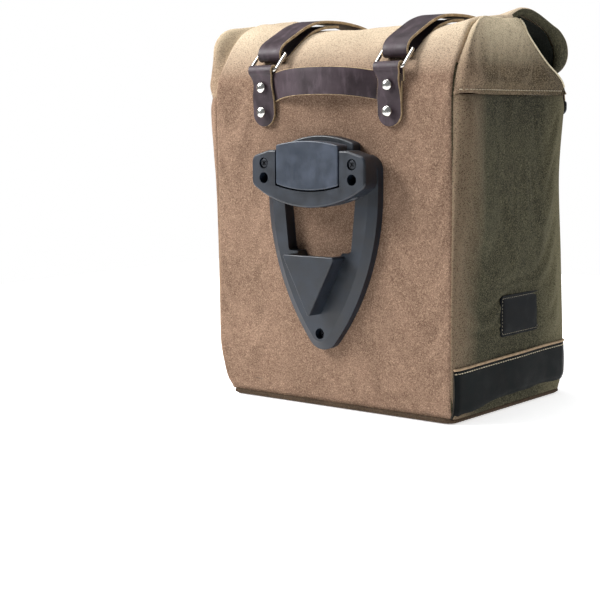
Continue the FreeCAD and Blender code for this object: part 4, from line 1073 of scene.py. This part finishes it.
def make_seams(band_rows, outer_band_row, collar_lines):
    """Folded edges and rows of stitches where the panels meet."""
    parts = []
    mouth_parts = []
    for name, side in SIDES:
        row = band_rows[name]
        parts.append(tube(row + (side * 0.2, 0, 0.6), 1.35))
        stitch_line("band_stitches_" + name, row + (side * 0.35, 0, -3.6), (side, 0, 0))
        stitched, edge = collar_lines[name]
        stitch_line("gusset_stitches_" + name, stitched + (side * 0.6, 0, 0), (side, 0, 0),
                    pitch=5.2, length=2.9, radius=0.45)
        mouth_parts.append(tube(edge, 1.0))
    parts.append(tube(outer_band_row + (0, 0.2, 0.6), 1.35))
    stitch_line("band_stitches_outer", outer_band_row + (0, 0.35, -3.6), (0, 1, 0))
    across = np.linspace(-HALF_WIDTH + 8, HALF_WIDTH - 8, 120)
    seam_y = np.interp(SEAM_Z, *np.array(OUTER_LINE).T[::-1]) - 2.3
    row = [(x, seam_y + 1.2, SEAM_Z - 3.6) for x in across]
    stitch_line("collar_stitches", np.array(row), (0, 1, 0), radius=0.42)
    for name, pieces, material in (("folded_edges", parts, CUT_SUEDE),
                                   ("mouth_piping", mouth_parts, MOUTH_PIPING)):
        points, faces = joined(pieces)
        welt = mesh_object(name, points, faces, (material,))
        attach(welt, "bag")


# -------- hardware

def turned_profile(centre_x, centre_z, profile):
    """Points and faces of a round part along y, from (radius, y) pairs."""
    around = 40
    angles = np.linspace(0, 2 * math.pi, around, endpoint=False)
    points = [(centre_x + radius * math.cos(a), y, centre_z + radius * math.sin(a))
              for radius, y in profile for a in angles]
    return points, grid_faces(len(profile), around, closed=True)


def make_tab_rivets(name, side):
    """Domed rivets through tab, handle and panel: bright cap, rolled rim, flat back."""
    lowest, highest = low("tab_rivets_" + name), high("tab_rivets_" + name)
    front, back = lowest[1], highest[1]
    radius = (highest - lowest)[0] / 2
    angles = np.linspace(0.02, math.pi / 2, 12)
    dome = [(radius * math.sin(a), front + 1.9 - 2.7 * math.cos(a)) for a in angles]
    post = [(radius - 0.5, front + 2.6), (1.8, front + 2.6), (1.8, back - 1), (4.8, back - 1), (4.8, back),
            (0.02, back)]
    centres = (lowest[2] + radius, highest[2] - radius)
    points, faces = joined([turned_profile(side * STRAP_X, z, dome + post) for z in centres])
    rivets = mesh_object("domed_rivets_" + name, points, faces, (NICKEL,))
    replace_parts(rivets, "tab_rivets_" + name)
    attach(rivets, "bag")


def dress(node, material):
    """Gives a CAD node its material."""
    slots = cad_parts[node].data.materials
    slots.clear()
    slots.append(material)


def dress_hardware():
    """Materials of the hardware that is shown as its CAD."""
    for name, _ in SIDES:
        for node in ("ring_", "anchor_rivets_", "strap_magnet_", "magnet_seat_"):
            dress(node + name, NICKEL)
        dress("corner_ring_" + name, BLACK_STEEL)
    dress("holder_plate", PLASTIC)
    dress("holder_head", PLASTIC)
    dress("release_lever", LEVER_PLASTIC)
    for node in ("lever_pin", "lever_spring", "holder_nuts"):
        dress(node, STEEL)
    for node in ("head_screws", "plate_screw", "lever_claw"):
        dress(node, BLACK_STEEL)
    dress("stiffener_board", BOARD)
    dress("backing_plate", BACKING)


# -------- stage

def make_stage():
    """Pale floor and soft studio light from the upper left."""
    size = 1.15
    mesh = bpy.data.meshes.new("floor")
    corners = [(-size, -size, 0), (size, -size, 0), (size, size, 0), (-size, size, 0)]
    mesh.from_pydata(corners, [], [(0, 1, 2, 3)])
    floor = bpy.data.objects.new("floor", mesh)
    floor.location.z = -0.0004
    bpy.context.scene.collection.objects.link(floor)
    paper = Paint("white_paper")
    tooth = paper.noise(2.5, detail=2)
    base = paper.mix(paper.spread(tooth, 0.3, 0.7), (0.93, 0.93, 0.93, 1), (0.96, 0.96, 0.96, 1))
    white = (1, 1, 1, 1)
    mesh.materials.append(paper.finish(base, 0.9, Emission_Color=white, Emission_Strength=0.55))
    world = bpy.data.worlds.new("studio")
    world.use_nodes = True
    fill = world.node_tree.nodes["Background"]
    fill.inputs["Color"].default_value = (0.94, 0.97, 1, 1)
    fill.inputs["Strength"].default_value = 0.2
    backdrop = world.node_tree.nodes.new("ShaderNodeBackground")
    backdrop.inputs["Color"].default_value = white
    seen = world.node_tree.nodes.new("ShaderNodeLightPath")
    either = world.node_tree.nodes.new("ShaderNodeMixShader")
    links = world.node_tree.links
    links.new(seen.outputs["Is Camera Ray"], either.inputs[0])
    links.new(fill.outputs["Background"], either.inputs[1])
    links.new(backdrop.outputs["Background"], either.inputs[2])
    links.new(either.outputs["Shader"], world.node_tree.nodes["World Output"].inputs["Surface"])
    bpy.context.scene.world = world
    bpy.context.scene.view_settings.view_transform = "Standard"
    lights = (("key", (-1.2, -1.05, 1.2), 0.9, 49), ("top", (-0.15, -0.1, 1.6), 0.9, 15),
              ("rim", (1.1, 1.5, 0.9), 0.6, 16))
    for name, place, width, power in lights:
        lamp = bpy.data.lights.new(name, "AREA")
        lamp.shape = "DISK"
        lamp.size = width
        lamp.energy = power
        light = bpy.data.objects.new(name, lamp)
        light.location = place
        aim = Vector((0, 0, 0.22)) - light.location
        light.rotation_euler = aim.to_track_quat("-Z", "Y").to_euler()
        bpy.context.scene.collection.objects.link(light)


def make_camera():
    """The photographer's place: low, to the right of the mounting face."""
    camera = bpy.data.cameras.new("camera")
    camera.lens = 87.2
    camera.sensor_width = 36
    eye = bpy.data.objects.new("camera", camera)
    eye.location = (0.90670, -1.28104, 0.30247)
    eye.rotation_euler = (math.radians(90 - 7.2955), math.radians(0.4), math.radians(38.7353))
    bpy.context.scene.collection.objects.link(eye)
    bpy.context.scene.camera = eye


# -------- build

front_sheet = make_front_sheet()
body_sheets = make_outer_sheets() + [make_base()]
collar_lines = {}
for name, side in SIDES:
    body_sheets.append(make_gusset(name, side))
    collar, stitched, edge = make_gusset_collar(name, side)
    body_sheets.append(collar)
    collar_lines[name] = (stitched, edge)
    make_roll_end(name, side)
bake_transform(front_sheet)
for sheet in body_sheets:
    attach(sheet, "bag")
make_inner_turn()
band_rows = {name: make_side_band(name, side) for name, side in SIDES}
make_seams(band_rows, make_outer_band(), collar_lines)
for name, side in SIDES:
    make_strap(name, side)
    make_tab(name, side)
    make_anchor(name, side)
    make_corner_loop(name)
    make_tab_rivets(name, side)
make_handle()
make_label()
dress_hardware()
make_stage()
make_camera()
